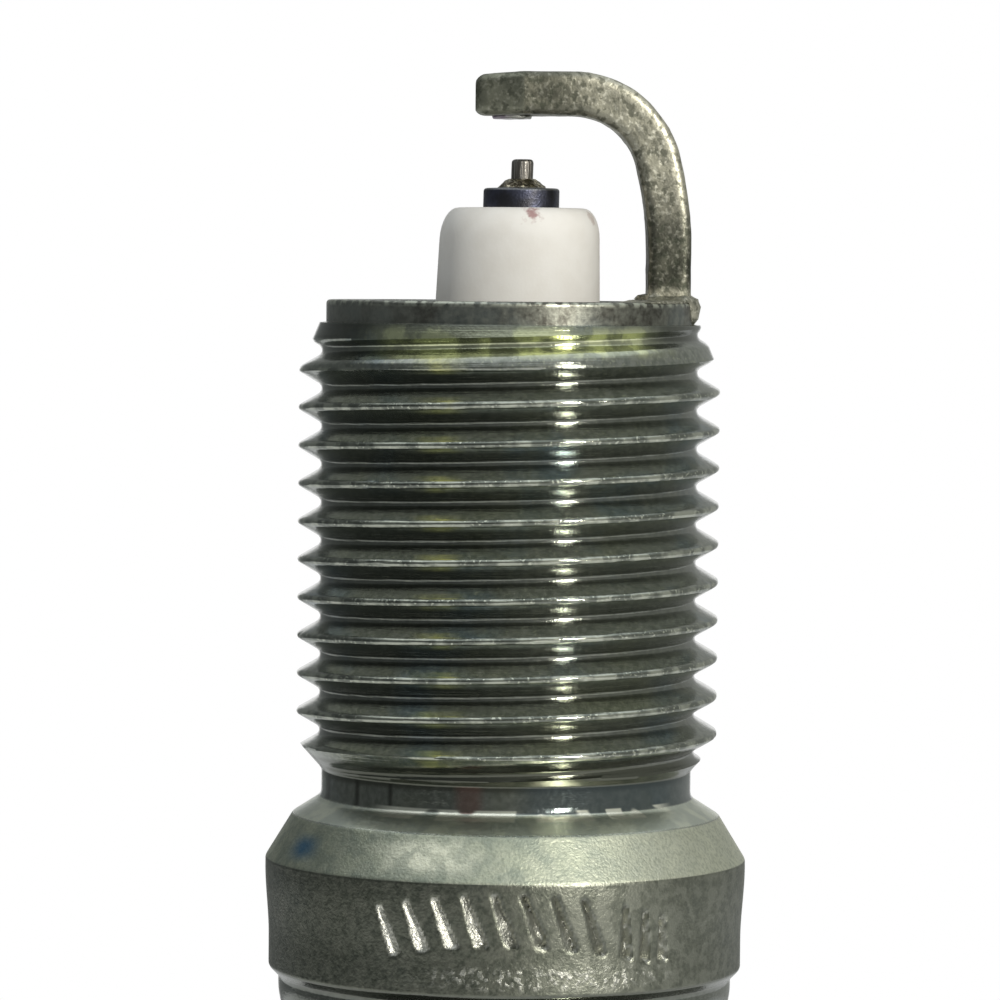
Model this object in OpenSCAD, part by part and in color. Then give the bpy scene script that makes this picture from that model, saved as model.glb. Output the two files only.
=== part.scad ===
// Taper-seat spark plug, M14 x 1.25, with a fine-wire centre electrode and a screw-on terminal nut.
// Millimetres. The origin is on the plug's axis, in the gauge plane of the conical seat.
// +Z points to the firing end, and the ground strap stands on the +X side.

/* [Thread and seat] */
// Outside diameter of the shell's thread
thread_d = 13.88; // [13.7:0.02:14.1]
// Thread pitch
thread_pitch = 1.25; // [1:0.05:1.5]
// Gauge plane of the seat to the firing face of the shell
reach = 17.5; // [16:0.25:19]
// Diameter of the plain nose ahead of the thread
nose_d = 12.1; // [11.8:0.05:12.2]
// Length of the plain nose
nose_len = 0.75; // [0.5:0.05:1.2]
// Diameter of the relief neck behind the thread
neck_d = 12.2; // [11.9:0.05:12.3]
// Length of the relief neck, up to the first turn of the thread
neck_len = 1; // [0.6:0.05:1.5]
// Seat diameter in the gauge plane
seat_gauge_d = 14.8; // [14.4:0.05:15]
// Included angle of the conical seat
seat_angle = 63; // [58:0.5:66]
// Small diameter of the conical seat
seat_inner_d = 14.1; // [13.8:0.1:14.4]
// Rise of the shoulder between the seat and the neck
shoulder_rise = 0.6; // [0.5:0.05:0.9]

/* [Shell body] */
// Diameter of the collar behind the seat
collar_d = 15.85; // [15.5:0.05:16]
// Diameter of the collar's rear half
collar_rear_d = 15.6; // [15.3:0.05:15.8]
// Length of the collar
collar_len = 3.9; // [3.5:0.05:5]
// Diameter of the groove between the collar and the hexagon
groove_d = 14.95; // [14.6:0.05:15.1]
// Length of that groove
groove_len = 2.4; // [1.8:0.1:3.5]
// Hexagon, across flats
hex_af = 16; // [15.8:0.05:16.5]
// Height of the hexagon
hex_h = 8; // [7:0.25:9]
// Diameter of the rolled rim behind the hexagon
rim_d = 14.4; // [14:0.1:15]
// Height of the rolled rim
rim_h = 2; // [1.7:0.1:2.5]
// Diameter of the bore at the firing end
firing_bore_d = 9; // [8.6:0.1:9.2]
// Diameter of the land that carries the insulator
land_d = 7.6; // [7.4:0.1:8]
// Length of that land
land_len = 1.5; // [1:0.1:2]
// Diameter of the bore behind the land
mid_bore_d = 9.2; // [9:0.05:9.6]
// Diameter of the bore inside the hexagon
rear_bore_d = 12.4; // [12.1:0.05:12.6]

/* [Insulator] */
// How far the insulator stands out of the firing face
nose_projection = 3.05; // [2:0.05:4]
// Diameter at the tip of the insulator's nose
nose_tip_d = 5.2; // [4.6:0.05:5.6]
// Round at the tip of the nose
nose_tip_r = 1; // [0.4:0.05:1]
// Diameter at the root of the nose
nose_root_d = 6.2; // [5.8:0.1:6.6]
// Length of the nose, from the seat washer to the tip
nose_length = 15; // [13:0.25:16]
// Diameter of the insulator above the hexagon
neck_ceramic_d = 10; // [9.6:0.1:10.4]
// Hexagon rim to the terminal end of the insulator
exposed_len = 26.6; // [25:0.2:30]
// Number of ribs
rib_count = 5; // [3:1:6]
// Distance from rib to rib
rib_pitch = 2.9; // [2.6:0.1:3.1]
// Depth of the grooves between the ribs
rib_depth = 0.7; // [0.4:0.05:0.8]
// Diameter of the bore for the stud, the glass and the resistor
core_bore_d = 4.3; // [4.2:0.05:4.6]

/* [Electrodes] */
// Diameter of the nickel centre electrode
electrode_d = 2.5; // [2.2:0.05:2.7]
// How far the nickel stands out of the insulator
electrode_projection = 0.65; // [0.4:0.05:1]
// Height of the welded boss around the wire
boss_h = 0.3; // [0.15:0.05:0.4]
// Diameter of the boss at its foot
boss_d = 1.7; // [1.2:0.05:1.8]
// Diameter of the fine wire
wire_d = 0.72; // [0.5:0.02:0.9]
// How far the wire stands out of the boss
wire_projection = 0.65; // [0.4:0.05:1]
// Spark gap
spark_gap = 1.3; // [0.8:0.05:1.5]
// Thickness of the pad under the strap
pad_t = 0.15; // [0.1:0.01:0.25]
// Diameter of that pad
pad_d = 1.3; // [0.9:0.05:1.5]
// Width of the ground strap
strap_w = 2.7; // [2.2:0.05:2.9]
// Thickness of the ground strap
strap_t = 1.4; // [1.2:0.05:1.5]
// Width of the strap's trimmed tip
strap_tip_w = 1.6; // [1.2:0.05:2]
// Thickness of the strap at its trimmed tip
strap_tip_t = 1.28; // [1.1:0.02:1.5]
// Length of the trimmed tip
strap_trim = 1.6; // [1:0.1:2]
// How far the strap reaches past the axis
strap_overhang = 1.2; // [0.8:0.05:1.3]

/* [Terminal] */
// Outside diameter of the stud's thread
stud_thread_d = 3.9; // [3.8:0.02:4]
// Pitch of the stud's thread
stud_pitch = 0.7; // [0.6:0.05:0.8]
// Length of the stud's thread behind its flange
stud_thread_len = 7.6; // [6.5:0.1:8]
// Diameter of the stud inside the insulator
stud_shank_d = 3.5; // [3:0.1:3.8]
// Diameter of the stud's grooved end, inside the glass
stud_grip_d = 3.2; // [2.8:0.1:3.4]
// Diameter of the stud's flange
stud_flange_d = 6; // [5.4:0.1:6.4]
// Thickness of the stud's flange
stud_flange_t = 0.9; // [0.6:0.1:1.2]
// Diameter of the terminal nut's head
nut_d = 6.3; // [6.2:0.05:6.4]
// Length of the terminal nut
nut_len = 8; // [7.6:0.1:9]
// Length of the cylindrical part of the nut's head
nut_head_len = 3.4; // [2.8:0.1:4]
// Diameter of the snap groove in the nut
nut_groove_d = 5.1; // [4.9:0.1:5.4]

/* [Core] */
// Length of the resistor
resistor_len = 8.5; // [6:0.5:10]
// Length of the glass between the resistor and the centre electrode's head
front_glass_len = 4; // [3:0.25:5]
// Length of the glass between the resistor and the stud
rear_glass_gap = 1.5; // [1:0.25:2.5]
// Length of the stud that the rear glass grips
stud_grip_len = 4; // [3:0.25:5]
// Diameter of the copper inside the centre electrode
copper_d = 1.4; // [1:0.05:1.6]
// Length of the talc between the two packing rings
talc_len = 1.3; // [1:0.1:2]
// Thickness of the seat washer, along the axis
washer_t = 0.35; // [0.25:0.05:0.5]

/* [Clearances] */
// Insulator in the shell, on the radius
ceramic_gap = 0.15; // [0.08:0.01:0.2]
// Pieces that are fused, pressed or packed together, on the radius
packed_gap = 0.02; // [0.01:0.005:0.03]
// Nut on the stud's thread, on the radius
nut_gap = 0.1; // [0.06:0.01:0.12]

/* [Hidden] */
$fn = 72;

// Colours
steel_colour = [0.42, 0.44, 0.38];
nickel_colour = [0.5, 0.5, 0.45];
wire_colour = [0.7, 0.7, 0.68];
ceramic_colour = [0.93, 0.92, 0.9];
copper_colour = [0.72, 0.42, 0.28];
glass_colour = [0.25, 0.22, 0.2];
resistor_colour = [0.12, 0.12, 0.13];
talc_colour = [0.85, 0.83, 0.76];
nut_colour = [0.72, 0.72, 0.7];

// Threads
thread_columns = 40;
thread_crest_back = 3.11;           // firing face to a crest on the strap's side
thread_lead = 0.55;                 // cone at the firing end: radius gained per millimetre
thread_fade = 0.9;                  // cone at the neck
thread_core_gap = 0.2;              // the plain core under the thread, inside its root
stud_columns = 24;
stud_thread_ends = 1;
flank_tan = tan(30);
crest_share = 1 / 8;
thread_depth = thread_pitch * 0.65;
stud_thread_depth = stud_pitch * 0.6;

// Outside of the shell
nose_chamfer = 0.12;
groove_waist = 0.15;
hex_chamfer = 0.3;
hex_chamfer_tan = tan(30);
rim_round = 1.4;
join = 0.5;                         // how far one turned piece of the shell runs into the next
seat_tan = tan(seat_angle / 2);
seat_front_z = (seat_gauge_d - seat_inner_d) / 2 / seat_tan;
seat_rear_z = -(collar_d - seat_gauge_d) / 2 / seat_tan;
neck_rear_z = seat_front_z + shoulder_rise;
thread_rear_z = neck_rear_z + neck_len;
thread_front_z = reach - nose_len;
thread_core_r = thread_d / 2 - thread_depth - thread_core_gap;
collar_step_z = seat_rear_z - collar_len * 0.35;
collar_taper_z = seat_rear_z - collar_len * 0.65;
collar_rear_z = seat_rear_z - collar_len;
collar_chamfer = (collar_rear_d - groove_d) / 2;
groove_rear_z = collar_rear_z - groove_len;
hex_rear_z = groove_rear_z - hex_h;
hex_corner_r = hex_af / 2 / cos(30);
hex_chamfer_h = (hex_corner_r - hex_af / 2 + hex_chamfer) * hex_chamfer_tan;
rim_rear_z = hex_rear_z - rim_h;

// Bores of the shell
bore_chamfer = 0.2;
past = 1;                           // how far a cutting shape runs past a face
ledge_slope = tan(30);
firing_bore_r = firing_bore_d / 2;
land_r = land_d / 2;
mid_bore_r = mid_bore_d / 2;
rear_bore_r = rear_bore_d / 2;
ceramic_tip_z = reach + nose_projection;
ledge_z = ceramic_tip_z - nose_length;
ledge_rear_z = ledge_z - (mid_bore_r - land_r) * ledge_slope;
land_front_z = ledge_z + land_len;
land_lead = firing_bore_r - land_r;
bore_step_back = 1.5;
bore_step_z = seat_rear_z - bore_step_back;
bore_step_len = rear_bore_r - mid_bore_r;
rim_lip_t = 1;
rim_lip_gap = 0.12;
rim_lip_z = rim_rear_z + rim_lip_t;

// Insulator
washer_gap = 0.01;
nose_root_r = nose_root_d / 2;
mid_ceramic_r = mid_bore_r - ceramic_gap;
flange_ceramic_r = rear_bore_r - ceramic_gap;
neck_ceramic_r = neck_ceramic_d / 2;
nose_root_z = ledge_z + (land_r - nose_root_r) * ledge_slope - washer_t;
ceramic_seat_rear_z = nose_root_z - (mid_ceramic_r - nose_root_r) * ledge_slope;
ceramic_step_z = bore_step_z - 3 * ceramic_gap;
ceramic_step_rear_z = ceramic_step_z - (flange_ceramic_r - mid_ceramic_r);
ring_r = (rear_bore_r - neck_ceramic_r) / 2 - packed_gap;
ring_mid_r = (rear_bore_r + neck_ceramic_r) / 2;
rear_ring_z = rim_lip_z + ring_r + packed_gap;
talc_rear_z = rear_ring_z + ring_r + packed_gap;
talc_front_z = talc_rear_z + talc_len;
front_ring_z = talc_front_z + ring_r + packed_gap;
flange_rear_z = front_ring_z + (ring_r + packed_gap) * sqrt(2) - (ring_mid_r - neck_ceramic_r);
flange_full_z = flange_rear_z + flange_ceramic_r - neck_ceramic_r;
ceramic_rear_z = rim_rear_z - exposed_len;
ceramic_end_round = 0.8;
rib_end_len = 3;
rib_round = 0.45;

// Core of the plug
electrode_r = electrode_d / 2;
wire_bore_r = electrode_r + packed_gap;
core_bore_r = core_bore_d / 2;
core_r = core_bore_r - packed_gap;
seat_to_head = 2.2;
head_t = 1.1;
crown_h = 0.9;
electrode_seat_z = nose_root_z - seat_to_head;
core_step_z = electrode_seat_z - (core_bore_r - wire_bore_r);
head_gap = 0.15;
head_r = core_bore_r - head_gap;
head_front_z = electrode_seat_z - (head_r - electrode_r) - packed_gap;
head_rear_z = head_front_z - head_t;
crown_r = 1.3;
crown_rear_z = head_rear_z - crown_h;
electrode_front_z = ceramic_tip_z + electrode_projection;
electrode_edge = 0.12;
boss_front_z = electrode_front_z + boss_h;
wire_r = wire_d / 2;
wire_socket = 0.3;
wire_round = 0.12;
wire_tip_z = boss_front_z + wire_projection;
boss_front_r = wire_r + 0.05;
copper_cap = 1.6;
copper_front_z = electrode_front_z - copper_cap;
resistor_front_z = head_rear_z - front_glass_len;
resistor_rear_z = resistor_front_z - resistor_len;
grip_front_z = resistor_rear_z - rear_glass_gap;
grip_rear_z = grip_front_z - stud_grip_len;
grip_r = stud_grip_d / 2;
grip_groove = 0.15;
grip_rings = 5;

// Terminal
stud_r = stud_thread_d / 2;
stud_flange_rear_z = ceramic_rear_z - stud_flange_t;
stud_rear_z = stud_flange_rear_z - stud_thread_len;
stud_core_r = stud_r - stud_thread_depth - 0.1;
stud_relief_r = stud_r - stud_thread_depth;
stud_relief_len = 0.8;
nut_r = nut_d / 2;
nut_groove_r = nut_groove_d / 2;
nut_bore_r = stud_r + nut_gap;
nut_rear_z = stud_flange_rear_z - nut_len;
nut_base_len = 1.3;
nut_slope = 0.35;
nut_chamfer = 0.7;
nut_mouth = 0.3;

// Ground strap
strap_inset = 0.15;
strap_edge = 0.28;
strap_tip_round = 0.35;
strap_under_z = wire_tip_z + spark_gap + pad_t;
strap_mid_z = strap_under_z + strap_t / 2;
strap_leg_x = nose_d / 2 - strap_inset - strap_t / 2;
lean_angle = 14;
lean_r = 13;
bend_r = 2.9;
bend_start_z = strap_mid_z - bend_r * (1 - sin(lean_angle));
leg_top_z = bend_start_z - lean_r * sin(lean_angle);
bend_start_x = strap_leg_x - lean_r * (1 - cos(lean_angle));
bend_end_x = bend_start_x - bend_r * cos(lean_angle);
flash_spread = 0.5;
flash_h = 0.25;
flash_out = 0.25;
flash_skirt = 0.7;
flash_angle = asin((strap_w / 2 + flash_spread) / (strap_leg_x + strap_t / 2));

// Points of an arc about c, from angle a to angle b
function arc(c, r, a, b, n = 8) =
    [for (i = [0:n]) c + r * [cos(a + (b - a) * i / n), sin(a + (b - a) * i / n)]];

// A thread's radius at one point of its profile, cut back by a cone at each end
function cut_back(r, root_r, z, rear_z, front_z, fade, lead) =
    max(root_r, min(r, root_r + (z - rear_z) * fade, root_r + (front_z - z) * lead));

// A right-hand thread as a closed rod. crest_z is the height of a crest at angle 0.
module thread_rod(r, depth, pitch, rear_z, front_z, crest_z, fade, lead, columns) {
    root_r = r - depth;
    flank = depth * flank_tan;
    crest = pitch * crest_share;
    profile = [[0, root_r], [flank, r], [flank + crest, r], [2 * flank + crest, root_r]];
    steps = len(profile);
    start_z = crest_z - flank - crest / 2;
    first_turn = floor((rear_z - start_z) / pitch) - 2;
    last_turn = ceil((front_z - start_z) / pitch) + 1;
    rows = [for (turn = [first_turn:last_turn]) for (p = profile) [start_z + pitch * turn + p[0], p[1]]];
    count = len(rows);
    points = [for (i = [0:columns - 1]) for (row = rows)
        let (z = max(rear_z, min(front_z, row[0] + pitch * i / columns)),
             here = cut_back(row[1], root_r, z, rear_z, front_z, fade, lead))
        [here * cos(360 * i / columns), here * sin(360 * i / columns), z]];
    sides = [for (i = [0:columns - 1]) for (j = [0:count - 2])
        let (next = i < columns - 1 ? (i + 1) * count + j : j + steps,
             fits = i < columns - 1 || j + steps < count - 1)
        if (fits) for (f = [[i * count + j, i * count + j + 1, next + 1],
                            [i * count + j, next + 1, next]]) f];
    rear_cap = [for (i = [0:columns - 1]) i * count];
    front_cap = [for (i = [columns - 1:-1:0]) i * count + count - 1];
    polyhedron(points = points, faces = concat(sides, [rear_cap, front_cap]), convexity = 6);
}

// A solid of revolution from its outline of [radius, height] points
module turned(outline) {
    rotate_extrude() polygon(outline);
}

module hexagon() {
    intersection() {
        translate([0, 0, hex_rear_z]) cylinder(r = hex_corner_r, h = hex_h, $fn = 6);
        turned([
            [0, hex_rear_z], [hex_af / 2 - hex_chamfer, hex_rear_z],
            [hex_corner_r, hex_rear_z + hex_chamfer_h], [hex_corner_r, groove_rear_z - hex_chamfer_h],
            [hex_af / 2 - hex_chamfer, groove_rear_z], [0, groove_rear_z]
        ]);
    }
}

module rolled_rim() {
    turned(concat([[0, hex_rear_z + join], [0, rim_rear_z]],
        arc([rim_d / 2 - rim_round, rim_rear_z + rim_round], rim_round, -90, 0),
        [[rim_d / 2, hex_rear_z + join]]));
}

module shell_barrel() {
    turned([
        [0, groove_rear_z - join], [groove_d / 2, groove_rear_z - join],
        [groove_d / 2, groove_rear_z + groove_len * 0.2],
        [groove_d / 2 - groove_waist, groove_rear_z + groove_len * 0.5],
        [groove_d / 2, groove_rear_z + groove_len * 0.8], [groove_d / 2, collar_rear_z],
        [collar_rear_d / 2, collar_rear_z + collar_chamfer], [collar_rear_d / 2, collar_taper_z],
        [collar_d / 2, collar_step_z], [collar_d / 2, seat_rear_z], [seat_inner_d / 2, seat_front_z],
        [neck_d / 2, neck_rear_z], [neck_d / 2, thread_rear_z],
        [thread_core_r, thread_rear_z + thread_core_gap], [thread_core_r, thread_front_z - join],
        [nose_d / 2, thread_front_z], [nose_d / 2, reach - nose_chamfer],
        [nose_d / 2 - nose_chamfer, reach], [0, reach]
    ]);
}

module shell_bore() {
    turned([
        [0, rim_rear_z - past], [neck_ceramic_r + rim_lip_gap, rim_rear_z - past],
        [neck_ceramic_r + rim_lip_gap, rim_lip_z], [rear_bore_r, rim_lip_z],
        [rear_bore_r, bore_step_z - bore_step_len], [mid_bore_r, bore_step_z], [mid_bore_r, ledge_rear_z],
        [land_r, ledge_z], [land_r, land_front_z], [firing_bore_r, land_front_z + land_lead],
        [firing_bore_r, reach - bore_chamfer], [firing_bore_r + bore_chamfer, reach],
        [firing_bore_r + bore_chamfer, reach + past], [0, reach + past]
    ]);
}

module shell() {
    color(steel_colour) difference() {
        union() {
            rolled_rim();
            hexagon();
            shell_barrel();
            thread_rod(thread_d / 2, thread_depth, thread_pitch, thread_rear_z, thread_front_z,
                reach - thread_crest_back, thread_fade, thread_lead, thread_columns);
        }
        shell_bore();
    }
}

module insulator() {
    rib_r = neck_ceramic_r - rib_depth;
    groove_half = rib_pitch * 0.3;
    ribs = [for (i = [0:rib_count - 1]) let (z = ceramic_rear_z + rib_end_len + rib_pitch * i)
        each [[neck_ceramic_r, z - groove_half - rib_round], [neck_ceramic_r - rib_depth * 0.15, z - groove_half],
              [rib_r, z - groove_half * 0.35], [rib_r, z + groove_half * 0.35],
              [neck_ceramic_r - rib_depth * 0.15, z + groove_half], [neck_ceramic_r, z + groove_half + rib_round]]];
    color(ceramic_colour) difference() {
        turned(concat(
            [[0, ceramic_rear_z]],
            arc([neck_ceramic_r - ceramic_end_round, ceramic_rear_z + ceramic_end_round],
                ceramic_end_round, -90, 0, 6),
            ribs,
            [[neck_ceramic_r, flange_rear_z], [flange_ceramic_r, flange_full_z],
             [flange_ceramic_r, ceramic_step_rear_z], [mid_ceramic_r, ceramic_step_z],
             [mid_ceramic_r, ceramic_seat_rear_z], [nose_root_r, nose_root_z]],
            arc([nose_tip_d / 2 - nose_tip_r, ceramic_tip_z - nose_tip_r], nose_tip_r, 0, 90, 10),
            [[0, ceramic_tip_z]]
        ));
        turned([
            [0, ceramic_rear_z - past], [core_bore_r, ceramic_rear_z - past], [core_bore_r, core_step_z],
            [wire_bore_r, electrode_seat_z], [wire_bore_r, ceramic_tip_z + past], [0, ceramic_tip_z + past]
        ]);
    }
}

// Steel ring that seals the insulator's seat on the shell's ledge
module seat_washer() {
    seat_top_z = ledge_z - washer_gap;
    inner_r = land_r + packed_gap;
    outer_r = mid_ceramic_r - packed_gap;
    inner_z = seat_top_z - (inner_r - land_r) * ledge_slope;
    outer_z = seat_top_z - (outer_r - land_r) * ledge_slope;
    washer_h = washer_t - 2 * washer_gap;
    color(nickel_colour) turned([
        [inner_r, inner_z], [outer_r, outer_z], [outer_r, outer_z - washer_h], [inner_r, inner_z - washer_h]
    ]);
}

module front_packing_ring() {
    color(nickel_colour) rotate_extrude() translate([ring_mid_r, front_ring_z]) circle(r = ring_r);
}

module rear_packing_ring() {
    color(nickel_colour) rotate_extrude() translate([ring_mid_r, rear_ring_z]) circle(r = ring_r);
}

module talc_fill() {
    color(talc_colour) difference() {
        translate([0, 0, talc_rear_z]) cylinder(r = rear_bore_r - packed_gap, h = talc_front_z - talc_rear_z);
        translate([0, 0, talc_rear_z - past])
            cylinder(r = neck_ceramic_r + packed_gap, h = talc_front_z - talc_rear_z + 2 * past);
    }
}

// Nickel sheath: head in the insulator, and the boss around the wire
module centre_electrode() {
    color(nickel_colour) difference() {
        turned([
            [0, crown_rear_z], [crown_r, crown_rear_z], [crown_r, head_rear_z], [head_r, head_rear_z],
            [head_r, head_front_z], [electrode_r, head_front_z + head_r - electrode_r],
            [electrode_r, electrode_front_z - electrode_edge],
            [electrode_r - electrode_edge, electrode_front_z], [boss_d / 2, electrode_front_z],
            [boss_front_r, boss_front_z], [0, boss_front_z]
        ]);
        translate([0, 0, crown_rear_z - past])
            cylinder(d = copper_d, h = copper_front_z - crown_rear_z + past);
        translate([0, 0, electrode_front_z - wire_socket])
            cylinder(r = wire_r, h = boss_h + wire_socket + past);
    }
}

module copper_core() {
    color(copper_colour) translate([0, 0, crown_rear_z])
        cylinder(d = copper_d - 2 * packed_gap, h = copper_front_z - crown_rear_z - packed_gap);
}

// Fine wire, welded into the nickel
module electrode_tip() {
    color(wire_colour) turned(concat(
        [[0, electrode_front_z - wire_socket], [wire_r, electrode_front_z - wire_socket]],
        arc([wire_r - wire_round, wire_tip_z - wire_round], wire_round, 0, 90, 5),
        [[0, wire_tip_z]]));
}

// Points around one section of the strap, about the point [x, z] of its middle line. angle turns
// its thickness, inner and outer are its faces' distances from that line, half is half its width.
function strap_section(x, z, angle, inner, outer, half) =
    let (corners = [[-inner + strap_edge, half - strap_edge, 180], [outer - strap_edge, half - strap_edge, 90],
                    [outer - strap_edge, -half + strap_edge, 0], [-inner + strap_edge, -half + strap_edge, -90]])
    [for (c = corners) for (a = [0:30:90])
        let (u = c[0] + strap_edge * cos(c[2] - a), v = c[1] + strap_edge * sin(c[2] - a))
        [x + u * cos(angle), v, z + u * sin(angle)]];

module strap_bar() {
    cut_x = -strap_overhang + strap_trim;
    stations = concat(
        // leg
        [for (z = [reach - join, leg_top_z]) [strap_leg_x, z, 0, 0, strap_w / 2, 0]],
        // slight lean towards the axis
        [for (i = [1:5]) let (a = lean_angle * i / 5)
            [strap_leg_x - lean_r * (1 - cos(a)), leg_top_z + lean_r * sin(a), a, 0, strap_w / 2, 0]],
        // bend
        [for (i = [1:14]) let (a = lean_angle + (90 - lean_angle) * i / 14)
            [bend_end_x + bend_r * cos(a), strap_mid_z - bend_r + bend_r * sin(a), a, 0, strap_w / 2, 0]],
        // straight to the trimmed tip, then its rounded end
        [[cut_x, strap_mid_z, 90, 0, strap_w / 2, 0]],
        [for (i = [0:4]) let (back = strap_tip_round * (1 - sin(90 * i / 4)),
                              shrink = strap_tip_round * (1 - cos(90 * i / 4)),
                              x = -strap_overhang + back, left = (x + strap_overhang) / strap_trim)
            [x, strap_mid_z, 90, (strap_t - strap_tip_t) * (1 - left),
             strap_tip_w / 2 + (strap_w - strap_tip_w) / 2 * left, shrink]]
    );
    sections = [for (s = stations)
        strap_section(s[0], s[1], s[2], strap_t / 2 - s[5] * 0.6, strap_t / 2 - s[3] - s[5], s[4] - s[5] * 0.5)];
    around = len(sections[0]);
    last = len(sections) - 1;
    points = [for (section = sections) each section];
    sides = [for (j = [0:last - 1]) for (i = [0:around - 1])
        let (a = j * around + i, b = j * around + (i + 1) % around)
        for (f = [[a, b, b + around], [a, b + around, a + around]]) f];
    foot_cap = [for (i = [around - 1:-1:0]) i];
    tip_cap = [for (i = [0:around - 1]) last * around + i];
    polyhedron(points = points, faces = concat(sides, [foot_cap, tip_cap]), convexity = 4);
}

// Weld flash around the strap's foot
module foot_flash() {
    inner_r = firing_bore_r + bore_chamfer;
    outer_r = nose_d / 2 + packed_gap;
    rotate([0, 0, -flash_angle]) rotate_extrude(angle = 2 * flash_angle) polygon([
        [inner_r, reach], [inner_r + flash_h / 2, reach + flash_h],
        [outer_r, reach + flash_h], [outer_r + flash_out, reach], [outer_r + flash_out, reach - flash_skirt / 2],
        [outer_r, reach - flash_skirt], [outer_r, reach]
    ]);
}

module ground_strap() {
    color(nickel_colour) union() {
        intersection() {
            strap_bar();
            translate([-strap_overhang - past, -strap_w, reach])
                cube([strap_overhang + nose_d + past, 2 * strap_w, strap_mid_z + strap_t - reach]);
        }
        foot_flash();
    }
}

// Small welded disc under the strap, facing the wire
module ground_pad() {
    color(wire_colour) translate([0, 0, strap_under_z - pad_t]) cylinder(d = pad_d, h = pad_t);
}

// Glass around the electrode's crown and up to the resistor
module front_glass_seal() {
    color(glass_colour) difference() {
        translate([0, 0, resistor_front_z]) cylinder(r = core_r, h = head_rear_z - packed_gap - resistor_front_z);
        translate([0, 0, crown_rear_z - packed_gap])
            cylinder(r = crown_r + packed_gap, h = head_rear_z - crown_rear_z + past);
    }
}

module resistor() {
    color(resistor_colour) translate([0, 0, resistor_rear_z])
        cylinder(r = core_r, h = resistor_len - packed_gap);
}

// Glass that holds the stud's grooved end
module rear_glass_seal() {
    color(glass_colour) difference() {
        translate([0, 0, grip_rear_z]) cylinder(r = core_r, h = resistor_rear_z - packed_gap - grip_rear_z);
        translate([0, 0, grip_rear_z - past])
            cylinder(r = grip_r + packed_gap, h = stud_grip_len + packed_gap + past);
    }
}

module terminal_stud() {
    ring = stud_grip_len / grip_rings;
    grip = [for (i = [0:grip_rings - 1]) let (z = grip_rear_z + ring * i)
        each [[grip_r, z], [grip_r, z + ring * 0.5], [grip_r - grip_groove, z + ring * 0.6],
              [grip_r - grip_groove, z + ring * 0.9]]];
    color(nut_colour) union() {
        turned(concat(
            [[0, stud_rear_z], [stud_core_r, stud_rear_z], [stud_core_r, stud_flange_rear_z - stud_relief_len],
             [stud_relief_r, stud_flange_rear_z - stud_relief_len + 0.1], [stud_relief_r, stud_flange_rear_z],
             [stud_flange_d / 2, stud_flange_rear_z], [stud_flange_d / 2, ceramic_rear_z - packed_gap],
             [stud_shank_d / 2, ceramic_rear_z - packed_gap], [stud_shank_d / 2, grip_rear_z - packed_gap]],
            grip,
            [[grip_r, grip_front_z - 0.05], [0, grip_front_z]]
        ));
        thread_rod(stud_r, stud_thread_depth, stud_pitch, stud_rear_z, stud_flange_rear_z - stud_relief_len,
            stud_rear_z, stud_thread_ends, stud_thread_ends, stud_columns);
    }
}

// Terminal nut, with the groove that a lead's clip snaps into
module terminal_nut() {
    head_front_z = nut_rear_z + nut_chamfer + nut_head_len;
    front_z = stud_flange_rear_z - packed_gap;
    color(nut_colour) difference() {
        turned([
            [0, nut_rear_z], [nut_r - nut_chamfer, nut_rear_z], [nut_r, nut_rear_z + nut_chamfer],
            [nut_r, head_front_z], [nut_groove_r, head_front_z + nut_slope],
            [nut_groove_r, front_z - nut_base_len - nut_slope], [nut_r, front_z - nut_base_len],
            [nut_r, front_z], [0, front_z]
        ]);
        turned([
            [0, nut_rear_z - past], [nut_bore_r + nut_mouth, nut_rear_z - past],
            [nut_bore_r + nut_mouth, nut_rear_z], [nut_bore_r, nut_rear_z + nut_mouth],
            [nut_bore_r, front_z - nut_mouth], [nut_bore_r + nut_mouth, front_z],
            [nut_bore_r + nut_mouth, front_z + past], [0, front_z + past]
        ]);
    }
}

shell();
insulator();
seat_washer();
front_packing_ring();
talc_fill();
rear_packing_ring();
centre_electrode();
copper_core();
electrode_tip();
ground_strap();
ground_pad();
front_glass_seal();
resistor();
rear_glass_seal();
terminal_stud();
terminal_nut();
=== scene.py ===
# %% [markdown]
# # A spark plug with a conical seat
#
# A spark plug screws into a cylinder head and carries a high voltage through a ceramic insulator to a gap in
# front of it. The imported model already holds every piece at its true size. This notebook dresses those
# pieces: it gives the threads their real crests and roots, the steel its plating and the ceramic its glaze.
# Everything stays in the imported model's own frame, so each piece is simply built where it belongs.

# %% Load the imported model
import math
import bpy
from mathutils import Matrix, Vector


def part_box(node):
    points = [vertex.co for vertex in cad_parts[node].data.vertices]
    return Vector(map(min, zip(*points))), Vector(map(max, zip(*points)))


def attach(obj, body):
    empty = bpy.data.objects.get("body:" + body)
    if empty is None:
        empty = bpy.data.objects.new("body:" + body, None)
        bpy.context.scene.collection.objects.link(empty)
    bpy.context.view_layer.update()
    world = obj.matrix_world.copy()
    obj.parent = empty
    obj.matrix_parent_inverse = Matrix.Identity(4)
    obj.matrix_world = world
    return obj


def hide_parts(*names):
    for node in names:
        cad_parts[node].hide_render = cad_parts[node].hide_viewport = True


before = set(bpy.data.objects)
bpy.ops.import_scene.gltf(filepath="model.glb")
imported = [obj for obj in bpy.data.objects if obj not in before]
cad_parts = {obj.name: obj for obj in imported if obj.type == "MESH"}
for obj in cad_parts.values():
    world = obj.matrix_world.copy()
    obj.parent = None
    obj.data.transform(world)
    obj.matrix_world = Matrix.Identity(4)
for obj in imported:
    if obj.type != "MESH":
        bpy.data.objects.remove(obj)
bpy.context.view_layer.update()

from types import SimpleNamespace

import bmesh
import bpy
import numpy as np
from mathutils import Vector, noise

MM = 0.001

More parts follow.
